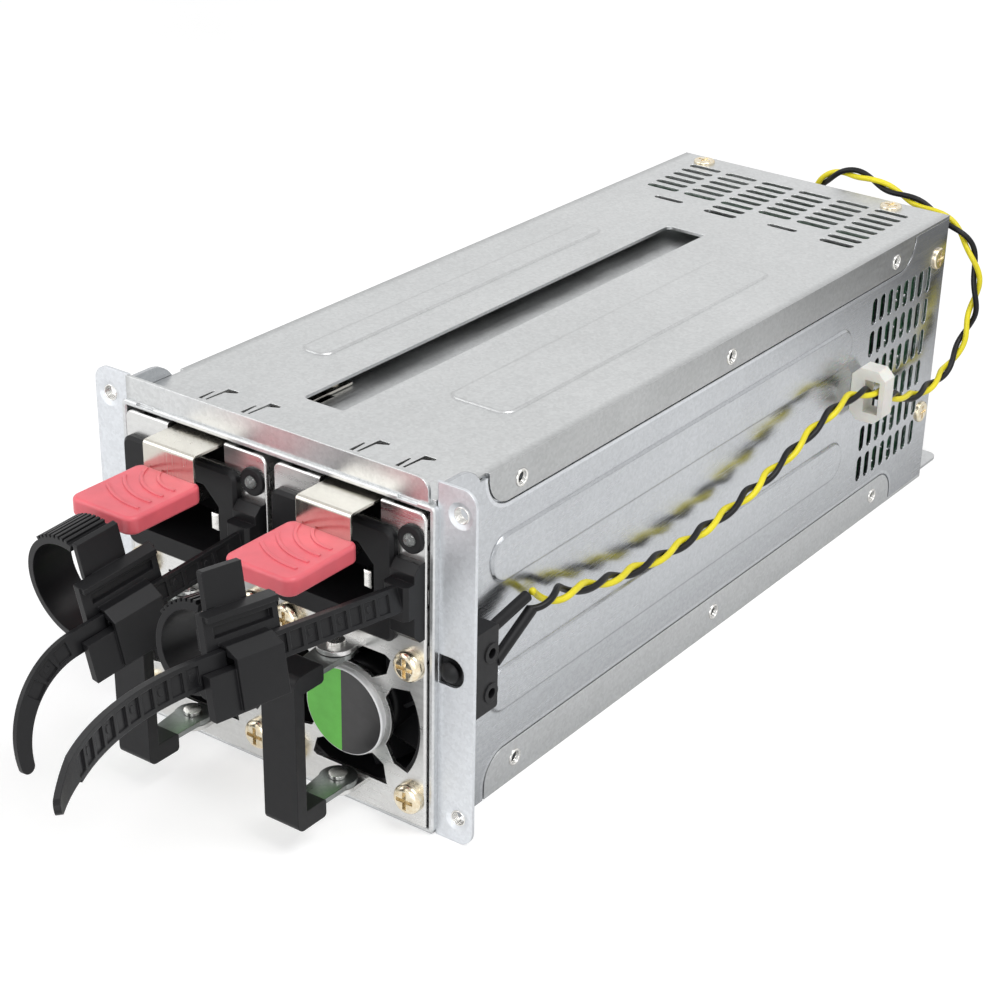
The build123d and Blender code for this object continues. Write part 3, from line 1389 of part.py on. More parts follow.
def save_module(side, word):
    """Write the nodes of one power module at its place in the cage."""
    place = Pos(module_centre(side), 0, 0)
    pieces = {
        "front_plate": front_plate(),
        "case": module_case(),
        "fan_frame": fan_frame(),
        "fan_rotor": fan_rotor(),
        "fan_label": fan_label(),
        "plate_screws": plate_screws(),
        "inlet_housing": inlet_housing(),
        "inlet_pins": inlet_pins(),
        "lamp_ring": lamp_ring(),
        "lamp_lens": lamp_lens(),
        "latch_spring": latch_spring(),
        "latch_tab": latch_tab(),
        "handle_grip": handle_grip(),
        "handle_leaves": handle_leaves(),
        "handle_rivets": handle_rivets(),
        "strap": strap(side),
        "clamp_slider": clamp_slider(side),
        "clamp_loop": clamp_loop(side),
        "main_board": main_board(),
        "board_parts": board_parts(),
    }
    for name, shape in pieces.items():
        save(name + "_" + word, place * shape)


os.makedirs("parts", exist_ok=True)
save_cage()
save_module(-1, "left")
save_module(1, "right")
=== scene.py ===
"""Look of a two-module hot swap server power supply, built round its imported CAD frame."""

import logging
import math
from dataclasses import dataclass, field
from enum import Enum

import bmesh
import bpy
from mathutils import Matrix, Vector

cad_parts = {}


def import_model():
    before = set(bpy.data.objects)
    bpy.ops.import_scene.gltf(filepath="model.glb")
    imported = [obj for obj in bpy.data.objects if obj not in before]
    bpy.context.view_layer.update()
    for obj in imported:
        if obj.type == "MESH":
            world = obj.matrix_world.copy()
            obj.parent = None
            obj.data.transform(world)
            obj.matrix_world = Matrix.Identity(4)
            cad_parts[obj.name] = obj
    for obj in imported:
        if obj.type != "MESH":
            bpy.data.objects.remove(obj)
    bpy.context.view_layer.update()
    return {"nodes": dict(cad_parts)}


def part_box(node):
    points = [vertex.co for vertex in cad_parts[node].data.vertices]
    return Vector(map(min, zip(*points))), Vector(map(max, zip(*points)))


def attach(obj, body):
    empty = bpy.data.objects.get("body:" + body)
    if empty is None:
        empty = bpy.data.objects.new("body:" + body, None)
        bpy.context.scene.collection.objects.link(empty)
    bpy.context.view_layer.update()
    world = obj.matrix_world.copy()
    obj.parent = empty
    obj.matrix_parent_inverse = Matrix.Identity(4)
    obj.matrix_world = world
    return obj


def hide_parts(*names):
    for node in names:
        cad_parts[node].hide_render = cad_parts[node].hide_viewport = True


log = logging.getLogger("power_supply")
MM = 0.001
Colour = tuple[float, float, float]
BEVEL_SAMPLES = 6


class Side(Enum):
    """The two power modules, and the sign of X where each one sits."""

    LEFT = -1
    RIGHT = 1

    @property
    def word(self) -> str:
        """Ending of the names of this side's nodes."""
        return self.name.lower()


class Strand(Enum):
    """The two wires of the alarm lead, and the half turn that parts them."""

    YELLOW = 0.0
    BLACK = math.pi


class Graph:
    """Builder for the nodes of one material."""

    def __init__(self, name: str) -> None:
        """Start a material with its shader.

        Args:
            name: name of the material.
        """
        self.material = bpy.data.materials.new(name)
        self.material.use_nodes = True
        tree = self.material.node_tree
        self.nodes = tree.nodes
        self.links = tree.links
        self.shader = next(n for n in self.nodes if n.type == "BSDF_PRINCIPLED")
        self.place = self.nodes.new("ShaderNodeTexCoord").outputs["Object"]

    def put(self, target: bpy.types.NodeSocket, value: object) -> None:
        """Link an output to a socket, or set the socket to a plain value.

        Args:
            target: input socket.
            value: an output socket or a plain value.
        """
        if isinstance(value, bpy.types.NodeSocket):
            self.links.new(value, target)
        else:
            target.default_value = value

    def stretch(self, scale: Colour) -> bpy.types.NodeSocket:
        """Object coordinates, scaled by axis.

        Args:
            scale: scale along X, Y and Z.

        Returns:
            The mapped coordinates.
        """
        node = self.nodes.new("ShaderNodeMapping")
        node.vector_type = "POINT"
        self.links.new(self.place, node.inputs["Vector"])
        node.inputs["Scale"].default_value = scale
        return node.outputs["Vector"]

    def noise(self, scale: float, detail: float = 3.0, rough: float = 0.55,
              place: bpy.types.NodeSocket | None = None) -> bpy.types.NodeSocket:
        """Noise from 0 to 1.

        Args:
            scale: lumps per metre.
            detail: number of finer layers.
            rough: strength of the finer layers.
            place: coordinates, or none for the object's own.

        Returns:
            The noise value.
        """
        node = self.nodes.new("ShaderNodeTexNoise")
        self.links.new(place or self.place, node.inputs["Vector"])
        node.inputs["Scale"].default_value = scale
        node.inputs["Detail"].default_value = detail
        node.inputs["Roughness"].default_value = rough
        return node.outputs["Fac"]

    def cells(self, scale: float) -> bpy.types.NodeSocket:
        """One random value per crystal-like cell.

        Args:
            scale: cells per metre.

        Returns:
            The cell value.
        """
        node = self.nodes.new("ShaderNodeTexVoronoi")
        self.links.new(self.place, node.inputs["Vector"])
        node.inputs["Scale"].default_value = scale
        split = self.nodes.new("ShaderNodeSeparateColor")
        self.links.new(node.outputs["Color"], split.inputs["Color"])
        return split.outputs["Red"]

    def span(self, value: bpy.types.NodeSocket, low: float, high: float, start: float = 0.0,
             end: float = 1.0) -> bpy.types.NodeSocket:
        """Map a value from start..end to low..high, and hold it there.

        Args:
            value: the value to map.
            low: result at start.
            high: result at end.
            start: lower end of the input.
            end: upper end of the input.

        Returns:
            The mapped value.
        """
        node = self.nodes.new("ShaderNodeMapRange")
        self.links.new(value, node.inputs["Value"])
        for name, number in (("From Min", start), ("From Max", end), ("To Min", low), ("To Max", high)):
            node.inputs[name].default_value = number
        return node.outputs["Result"]

    def sums(self, kind: str, first: object, second: object) -> bpy.types.NodeSocket:
        """Sum, product or another two-value operation.

        Args:
            kind: name of the operation.
            first: first value.
            second: second value.

        Returns:
            The result.
        """
        node = self.nodes.new("ShaderNodeMath")
        node.operation = kind
        self.put(node.inputs[0], first)
        self.put(node.inputs[1], second)
        return node.outputs["Value"]

    def mix(self, share: object, first: object, second: object) -> bpy.types.NodeSocket:
        """Mix two colours.

        Args:
            share: how much of the second colour.
            first: first colour, three numbers or a socket.
            second: second colour, three numbers or a socket.

        Returns:
            The mixed colour.
        """
        node = self.nodes.new("ShaderNodeMix")
        node.data_type = "RGBA"
        self.put(node.inputs[0], share)
        for slot, colour in ((6, first), (7, second)):
            linked = isinstance(colour, bpy.types.NodeSocket)
            self.put(node.inputs[slot], colour if linked else (*colour, 1.0))
        return node.outputs[2]

    def tinted(self, value: bpy.types.NodeSocket, first: Colour, second: Colour, start: float = 0.35,
               end: float = 0.65) -> bpy.types.NodeSocket:
        """Colour that goes from the first to the second as a value goes from start to end.

        Args:
            value: the value.
            first: colour at start.
            second: colour at end.
            start: lower end of the value.
            end: upper end of the value.

        Returns:
            The colour.
        """
        return self.mix(self.span(value, 0.0, 1.0, start, end), first, second)

    def times(self, *values: object) -> bpy.types.NodeSocket:
        """Product of all the values, in their order.

        Args:
            values: the values, sockets or numbers.

        Returns:
            The product.
        """
        product = values[0]
        for value in values[1:]:
            product = self.sums("MULTIPLY", product, value)
        return product

    def lit(self, colour: Colour, factor: bpy.types.NodeSocket) -> bpy.types.NodeSocket:
        """Colour multiplied by a value.

        Args:
            colour: the colour.
            factor: the value.

        Returns:
            The product.
        """
        node = self.nodes.new("ShaderNodeVectorMath")
        node.operation = "SCALE"
        node.inputs[0].default_value = colour
        self.links.new(factor, node.inputs["Scale"])
        return node.outputs["Vector"]

    def axis(self, name: str) -> bpy.types.NodeSocket:
        """One of the object's own coordinates.

        Args:
            name: X, Y or Z.

        Returns:
            The coordinate in metres.
        """
        node = self.nodes.new("ShaderNodeSeparateXYZ")
        self.links.new(self.place, node.inputs["Vector"])
        return node.outputs[name]

    def outline_distance(self, press: "Press") -> bpy.types.NodeSocket:
        """Distance to a rounded outline, negative inside it.

        Args:
            press: the outline.

        Returns:
            The distance in metres.
        """
        total = None
        for name, centre, half in zip(press.axes, press.centre, press.half):
            away = self.sums("ABSOLUTE", self.sums("SUBTRACT", self.axis(name), centre), 0.0)
            past = self.sums("MAXIMUM", self.sums("SUBTRACT", away, half - press.radius), 0.0)
            square = self.times(past, past)
            total = square if total is None else self.sums("ADD", total, square)
        return self.sums("SUBTRACT", self.sums("POWER", total, 0.5), press.radius)

    def painted_press_shading(self, press: "Press") -> bpy.types.NodeSocket:
        """Painted shade and painted highlight along the line of a pressed outline, 1 away from it.

        Args:
            press: the outline.

        Returns:
            The factor for the colour.
        """
        distance = self.outline_distance(press)
        rise = self.span(distance, 0.0, 1.0, press.line[0] - press.soft, press.line[0])
        fall = self.span(distance, 1.0, 0.0, press.line[1], press.line[1] + press.soft)
        ring = self.times(rise, fall)
        low, high = (press.centre[1] + sign * press.half[1] * press.spread for sign in (-1.0, 1.0))
        across = self.axis(press.axes[1])
        # The painted tone changes across the outline: painted shade below 1, painted highlight above 1.
        change = self.span(across, press.painted_tones[0] - 1.0, press.painted_tones[1] - 1.0, low, high)
        return self.sums("ADD", self.times(ring, change), 1.0)

    def edge(self, radius: float) -> tuple[bpy.types.NodeSocket, bpy.types.NodeSocket]:
        """Rounded normal near sharp edges, and a mask of where it differs.

        Args:
            radius: radius of the rounding in metres.

        Returns:
            The normal, and the mask, 0 on flats and up to 1 on edges.
        """
        soft = self.nodes.new("ShaderNodeBevel")
        soft.samples = BEVEL_SAMPLES
        soft.inputs["Radius"].default_value = radius
        plain = self.nodes.new("ShaderNodeNewGeometry")
        turn = self.nodes.new("ShaderNodeVectorMath")
        turn.operation = "DOT_PRODUCT"
        self.links.new(soft.outputs["Normal"], turn.inputs[0])
        self.links.new(plain.outputs["Normal"], turn.inputs[1])
        return soft.outputs["Normal"], self.span(turn.outputs["Value"], 1.0, 0.0, 0.75, 0.995)

    def bump(self, height: bpy.types.NodeSocket, depth: float, normal: object = None) -> None:
        """Give the shader a fine relief.

        Args:
            height: relief from 0 to 1.
            depth: depth of the relief in metres.
            normal: normal that the relief starts from.
        """
        node = self.nodes.new("ShaderNodeBump")
        node.inputs["Strength"].default_value = 1.0
        node.inputs["Distance"].default_value = depth
        self.links.new(height, node.inputs["Height"])
        if normal is not None:
            self.links.new(normal, node.inputs["Normal"])
        self.links.new(node.outputs["Normal"], self.shader.inputs["Normal"])

    def set(self, **values: object) -> None:
        """Set sockets of the shader by name, with _ for a space.

        Args:
            values: socket values.
        """
        for name, value in values.items():
            self.put(self.shader.inputs[name.replace("_", " ")], value)


def shade(colour: Colour, factor: float) -> Colour:
    """Colour made darker or lighter.

    Args:
        colour: the colour.
        factor: what each channel is multiplied by.

    Returns:
        The changed colour.
    """
    return tuple(min(1.0, channel * factor) for channel in colour)


@dataclass(frozen=True)
class Press:
    """Rounded outline pressed into a sheet: its place, and the tones of the painted shade and painted highlight
    along its line, below and above (below 1 darker, above 1 lighter).
    """

    axes: str
    centre: tuple[float, float]
    half: tuple[float, float]
    radius: float
    painted_tones: tuple[float, float]
    line: tuple[float, float] = (-0.45 * MM, 0.05 * MM)
    soft: float = 0.45 * MM
    spread: float = 0.6


# Tones of painted shade and painted highlight along the pressed outlines: the beads and cover panels get painted
# shade, darkest on the lower side of a bead, and the side panel's steps get painted highlight.
BEAD_HALF = (77.5 * MM, 5.5 * MM)
BEAD_PAINTED_SHADE = (0.66, 0.93)
STEP_LINE = (0.2 * MM, 0.8 * MM)
STEP_SOFT = 0.2 * MM
PANEL_PAINTED_SHADE = (0.86, 0.90)
SIDE_PRESSES = (
    Press("YZ", (94.5 * MM, 25.3 * MM), BEAD_HALF, 5.5 * MM, BEAD_PAINTED_SHADE),
    Press("YZ", (94.5 * MM, 56.8 * MM), BEAD_HALF, 5.5 * MM, BEAD_PAINTED_SHADE),
    Press("YZ", (110.2 * MM, 79.6 * MM), (94.4 * MM, 10.4 * MM), 7.6 * MM, (1.22, 1.22),
          STEP_LINE, STEP_SOFT),
    Press("YZ", (110.2 * MM, -0.8 * MM), (94.4 * MM, 11.2 * MM), 7.6 * MM, (1.0, 1.15),
          STEP_LINE, STEP_SOFT),
)
COVER_PRESSES = (
    Press("XY", (19.7 * MM, 97.0 * MM), (8.25 * MM, 55.5 * MM), 3.0 * MM, PANEL_PAINTED_SHADE),
    Press("XY", (-26.3 * MM, 97.0 * MM), (4.0 * MM, 55.5 * MM), 3.0 * MM, PANEL_PAINTED_SHADE),
)


@dataclass(frozen=True)
class SheetMetal:
    """Plated sheet: rolling marks, soft clouds of zinc, fine sparkle and brighter edges.

    A sheet may have painted shade and highlight along lines pressed into it, painted shade
    near the bends along its sides, and a front face that is lighter and less smooth.
    """

    name: str
    tint: Colour
    rough: float
    clouds: float = 0.10
    sparkle: float = 0.06
    rolled: str = "Y"
    edge: float = 0.25 * MM
    presses: tuple[Press, ...] = ()
    bend: float = 1.0
    bend_shade_span: tuple[float, float] = (39.6 * MM, 41.7 * MM)
    front_lift: float = 1.0
    front_rough: float = 0.0
    front_depth: float = 1.0 * MM
    cloud_scale: float = 34.0
    crystal_scale: float = 1500.0
    fine_scale: float = 2600.0
    mark_scale: float = 1400.0
    mark_stretch: float = 0.06
    worn_lift: float = 1.16
    worn_share: float = 0.6
    worn_smooth: float = 0.06
    relief: float = 0.004 * MM

    def build(self) -> bpy.types.Material:
        """Make the material.

        Returns:
            The material.
        """
        graph = Graph(self.name)
        along = tuple(self.mark_stretch if name == self.rolled else 1.0 for name in "XYZ")
        clouds = graph.noise(self.cloud_scale, 4.0, 0.6)
        crystals = graph.cells(self.crystal_scale)
        fine = graph.noise(self.fine_scale, 2.0, 0.7)
        marks = graph.noise(self.mark_scale, 3.0, 0.7, graph.stretch(along))
        normal, worn = graph.edge(self.edge)
        cloudy = graph.span(clouds, 1.0 - self.clouds, 1.0 + self.clouds, 0.3, 0.7)
        sparkling = graph.span(crystals, 1.0 - self.sparkle, 1.0 + self.sparkle)
        light = graph.times(cloudy, sparkling, graph.span(marks, 0.96, 1.04, 0.3, 0.7))
        # Painted shade and painted highlight along the pressed outlines.
        for press in self.presses:
            light = graph.times(light, graph.painted_press_shading(press))
        # Painted shade on the cover, darker towards the bends along its sides.
        if self.bend < 1.0:
            beside = graph.sums("ABSOLUTE", graph.axis("X"), 0.0)
            light = graph.times(light, graph.span(beside, 1.0, self.bend, *self.bend_shade_span))
        rough = graph.sums("ADD", graph.span(marks, -0.05, 0.06, 0.3, 0.7), self.rough)
        rough = graph.sums("ADD", rough, graph.span(clouds, 0.04, -0.04, 0.35, 0.65))
        if self.front_rough > 0.0:
            front = graph.sums("LESS_THAN", graph.axis("Y"), self.front_depth)
            light = graph.times(light, graph.span(front, 1.0, self.front_lift))
            rough = graph.sums("ADD", rough, graph.span(front, 0.0, self.front_rough))
        bright = shade(self.tint, self.worn_lift)
        colour = graph.mix(graph.times(worn, self.worn_share), graph.lit(self.tint, light), bright)
        rough = graph.sums("SUBTRACT", rough, graph.times(worn, self.worn_smooth))
        graph.set(Base_Color=colour, Roughness=rough, Metallic=1.0)
        graph.bump(graph.sums("ADD", fine, marks), self.relief, normal)
        return graph.material


@dataclass(frozen=True)
class Moulded:
    """Moulded plastic: fine texture, slight flow clouds, paler rubbed edges."""

    name: str
    tint: Colour
    rough: float
    grain: float = 0.006 * MM
    worn: float = 0.35
    worn_tint: float = 2.2
    edge: float = 0.25 * MM
    soft_light: float = 0.0
    shine: float = 0.45
    grain_scale: float = 5200.0
    cloud_scale: float = 90.0
    dust_scale: float = 420.0
    light_depth: float = 0.8 * MM

    def build(self) -> bpy.types.Material:
        """Make the material.

        Returns:
            The material.
        """
        graph = Graph(self.name)
        grain = graph.noise(self.grain_scale, 2.0, 0.6)
        clouds = graph.noise(self.cloud_scale, 3.0, 0.6)
        dust = graph.noise(self.dust_scale, 5.0, 0.7)
        normal, edges = graph.edge(self.edge)
        rubbed = graph.times(edges, graph.span(dust, 0.2, 1.0, 0.4, 0.6))
        base = graph.tinted(clouds, shade(self.tint, 0.9), shade(self.tint, 1.1), 0.3, 0.7)
        pale = shade(self.tint, self.worn_tint)
        graph.set(Base_Color=graph.mix(graph.times(rubbed, self.worn), base, pale))
        both = graph.sums("ADD", grain, dust)
        rough = graph.span(both, self.rough - 0.06, self.rough + 0.08, 0.7, 1.3)
        graph.set(Roughness=rough, Specular_IOR_Level=self.shine)
        if self.soft_light > 0.0:
            graph.set(Subsurface_Weight=self.soft_light, Subsurface_Scale=self.light_depth)
        graph.bump(grain, self.grain, normal)
        return graph.material


@dataclass(frozen=True)
class BrightMetal:
    """Small plated metal piece: bright, with pits and a worn tint on its edges."""

    name: str
    tint: Colour
    second: Colour
    rough: float
    cloud_scale: float = 700.0
    pit_scale: float = 4200.0
    edge: float = 0.15 * MM
    relief: float = 0.004 * MM

    def build(self) -> bpy.types.Material:
        """Make the material.

        Returns:
            The material.
        """
        graph = Graph(self.name)
        clouds = graph.noise(self.cloud_scale, 4.0, 0.6)
        pits = graph.noise(self.pit_scale, 2.0, 0.6)
        normal, edges = graph.edge(self.edge)
        base = graph.tinted(clouds, self.tint, self.second)
        rough = graph.span(clouds, self.rough - 0.05, self.rough + 0.1, 0.3, 0.7)
        graph.set(Base_Color=graph.mix(graph.times(edges, 0.5), base, shade(self.tint, 1.15)))
        graph.set(Roughness=rough, Metallic=1.0)
        graph.bump(pits, self.relief, normal)
        return graph.material


@dataclass(frozen=True)
class CircuitBoard:
    """Green solder mask over copper tracks."""

    name: str = "solder_mask"
    mask: Colour = (0.012, 0.10, 0.035)
    light_mask: Colour = (0.02, 0.16, 0.055)
    track: Colour = (0.035, 0.22, 0.09)
    track_scale: float = 260.0
    track_gap: float = 0.03
    copper: float = 0.03 * MM

    def build(self) -> bpy.types.Material:
        """Make the material.

        Returns:
            The material.
        """
        graph = Graph(self.name)
        tracks = graph.nodes.new("ShaderNodeTexBrick")
        flat = graph.nodes.new("ShaderNodeCombineXYZ")
        graph.links.new(graph.axis("Y"), flat.inputs["X"])
        graph.links.new(graph.axis("Z"), flat.inputs["Y"])
        graph.links.new(flat.outputs["Vector"], tracks.inputs["Vector"])
        tracks.inputs["Scale"].default_value = self.track_scale
        tracks.inputs["Mortar Size"].default_value = self.track_gap
        cloud = graph.noise(240.0, 3.0)
        mask = graph.tinted(cloud, self.mask, self.light_mask, 0.4, 0.6)
        track = graph.mix(tracks.outputs["Fac"], mask, self.track)
        graph.set(Base_Color=track, Roughness=graph.span(cloud, 0.28, 0.4), Specular_IOR_Level=0.55)
        graph.bump(tracks.outputs["Fac"], self.copper)
        return graph.material


@dataclass(frozen=True)
class Wire:
    """Wire insulation with faint print-free sheen and handling marks."""

    name: str
    tint: Colour
    shine: float = 0.45

    def build(self) -> bpy.types.Material:
        """Make the material.

        Returns:
            The material.
        """
        graph = Graph(self.name)
        clouds = graph.noise(160.0, 4.0, 0.6)
        skin = graph.noise(3500.0, 2.0, 0.6)
        graph.set(Base_Color=graph.tinted(clouds, shade(self.tint, 0.86), self.tint))
        graph.set(Roughness=graph.span(clouds, 0.3, 0.46, 0.3, 0.7), Specular_IOR_Level=self.shine)
        graph.bump(skin, 0.004 * MM)
        return graph.material


@dataclass(frozen=True)
class LabelFilm:
    """Round two-colour label: green left of a line, dark right of it, with a pale cut edge."""

    side: Side
    centre_x: float
    centre_z: float
    radius: float
    split: float = -0.6 * MM
    rim_width: float = 0.32 * MM
    film_front: float = -4.35 * MM
    greens: tuple[Colour, Colour] = ((0.13, 0.60, 0.055), (0.15, 0.66, 0.07))
    blacks: tuple[Colour, Colour] = ((0.018, 0.017, 0.018), (0.027, 0.026, 0.027))
    paper: Colour = (0.78, 0.79, 0.8)

    def build(self) -> bpy.types.Material:
        """Make the material.

        Returns:
            The material.
        """
        graph = Graph("label_" + self.side.word)
        x = graph.sums("SUBTRACT", graph.axis("X"), self.centre_x)
        z = graph.sums("SUBTRACT", graph.axis("Z"), self.centre_z)
        reach = graph.sums("POWER", graph.sums("ADD", graph.times(x, x), graph.times(z, z)), 0.5)
        dark = graph.sums("GREATER_THAN", x, self.split)
        clouds = graph.noise(300.0, 3.0, 0.6)
        film = graph.mix(dark, graph.tinted(clouds, *self.greens), graph.tinted(clouds, *self.blacks))
        rim = graph.sums("GREATER_THAN", reach, self.radius - self.rim_width)
        body = graph.sums("GREATER_THAN", graph.axis("Y"), self.film_front)
        pale = graph.sums("MAXIMUM", rim, body)
        graph.set(Base_Color=graph.mix(pale, film, self.paper))
        graph.set(Roughness=graph.span(clouds, 0.26, 0.36), Specular_IOR_Level=0.5, Coat_Weight=0.25,
                  Coat_Roughness=0.2)
        graph.bump(graph.noise(2200.0, 2.0), 0.004 * MM)
        return graph.material


@dataclass(frozen=True)
class ClearLens:
    """Clear lamp lens."""

    name: str = "clear_lens"

    def build(self) -> bpy.types.Material:
        """Make the material.

        Returns:
            The material.
        """
        graph = Graph(self.name)
        tint = graph.mix(graph.noise(900.0), (0.82, 0.86, 0.84), (0.92, 0.94, 0.93))
        graph.set(Base_Color=tint, Roughness=0.08, Transmission_Weight=0.85, IOR=1.5)
        graph.bump(graph.noise(1800.0), 0.002 * MM)
        return graph.material


@dataclass
class Finishes:
    """Every finish of the object, made once."""

    made: dict[str, bpy.types.Material] = field(default_factory=dict)

    def __post_init__(self) -> None:
        """Build the materials by their slot or use."""
        metals = (
            SheetMetal("galvanised", (0.575, 0.585, 0.59), 0.40, clouds=0.03, sparkle=0.06),
            SheetMetal("galvanised_cover", (0.60, 0.61, 0.612), 0.36, clouds=0.03, sparkle=0.06,
                       presses=COVER_PRESSES, bend=0.74),
            SheetMetal("galvanised_side", (0.49, 0.505, 0.525), 0.22, clouds=0.03, sparkle=0.05,
                       presses=SIDE_PRESSES, front_lift=1.35, front_rough=0.26),
            SheetMetal("plated", (0.66, 0.66, 0.65), 0.30, clouds=0.05, sparkle=0.03, rolled="X",
                       edge=0.15 * MM),
            SheetMetal("latch_steel", (0.60, 0.575, 0.52), 0.22, clouds=0.05, sparkle=0.02, rolled="Z",
                       edge=0.15 * MM),
            SheetMetal("handle_zinc", (0.27, 0.285, 0.28), 0.33, clouds=0.10, rolled="Y"),
            SheetMetal("rim_steel", (0.60, 0.61, 0.615), 0.42, clouds=0.04, rolled="X"),
        )
        plastics = (
            Moulded("black_plastic", (0.008, 0.008, 0.009), 0.42, worn=0.25, shine=0.22),
            Moulded("black_nylon", (0.010, 0.010, 0.011), 0.34, worn=0.3, worn_tint=3.0, shine=0.22),
            Moulded("white_nylon", (0.80, 0.79, 0.74), 0.42, worn=0.2, worn_tint=1.1, soft_light=0.25),
            Moulded("coral_plastic", (0.77, 0.135, 0.165), 0.34, grain=0.008 * MM, worn=0.35, worn_tint=1.35,
                    soft_light=0.08),
            Moulded("component", (0.025, 0.025, 0.03), 0.3, shine=0.3),
            Moulded("sleeve", (0.008, 0.008, 0.009), 0.5, grain=0.01 * MM, shine=0.25),
        )
        bright = (
            BrightMetal("screw_zinc", (0.84, 0.78, 0.64), (0.74, 0.62, 0.42), 0.2),
            BrightMetal("contact", (0.80, 0.79, 0.76), (0.72, 0.71, 0.69), 0.2),
            BrightMetal("solder", (0.82, 0.83, 0.84), (0.7, 0.71, 0.72), 0.22),
        )
        others = (CircuitBoard(), Wire("wire_yellow", (0.88, 0.76, 0.02)),
                  Wire("wire_black", (0.008, 0.008, 0.009), 0.25), ClearLens())
        for finish in (*metals, *plastics, *bright, *others):
            self.made[finish.name] = finish.build()

    def dress(self, obj: bpy.types.Object, *names: str) -> None:
        """Give an object its materials in order.

        Args:
            obj: the object.
            names: names of the finishes.
        """
        if obj.data.materials:
            obj.data.materials.clear()
        for name in names:
            obj.data.materials.append(self.made[name])


def new_piece(name: str, mesh: bmesh.types.BMesh) -> bpy.types.Object:
    """Store a finished mesh as a smooth-shaded object.

    Args:
        name: name of the piece.
        mesh: the mesh, which is freed.

    Returns:
        The object.
    """
    data = bpy.data.meshes.new(name)
    mesh.to_mesh(data)
    mesh.free()
    obj = bpy.data.objects.new(name, data)
    bpy.context.scene.collection.objects.link(obj)
    return obj


def turned_ring(mesh: bmesh.types.BMesh, axis: str, place: Colour, radius: float, thickness: float,
                steps: int = 28, sides: int = 8) -> None:
    """Add a ring with a round section, spun about an axis.

    Args:
        mesh: mesh that receives the ring.
        axis: X or Y, the axis that the ring goes round.
        place: middle of the ring, in metres.
        radius: radius of the section's middle line.
        thickness: radius of the section.
        steps: sections round the ring.
        sides: sides of the section.
    """
    around = Vector((1.0, 0.0, 0.0)) if axis == "X" else Vector((0.0, 1.0, 0.0))
    away = Vector((0.0, 0.0, 1.0))
    section = Matrix.Identity(4)
    section.col[0][:3] = around
    section.col[1][:3] = away
    section.col[2][:3] = around.cross(away)
    section.col[3][:3] = Vector(place) + away * radius
    circle = bmesh.ops.create_circle(mesh, segments=sides, radius=thickness, matrix=section)
    edges = list({edge for vertex in circle["verts"] for edge in vertex.link_edges})
    before = set(mesh.faces)
    bmesh.ops.spin(mesh, geom=circle["verts"] + edges, cent=place, axis=around, angle=2.0 * math.pi,
                   steps=steps, use_merge=True)
    made = [face for face in mesh.faces if face not in before]
    bmesh.ops.recalc_face_normals(mesh, faces=made)
    for face in made:
        face.smooth = True


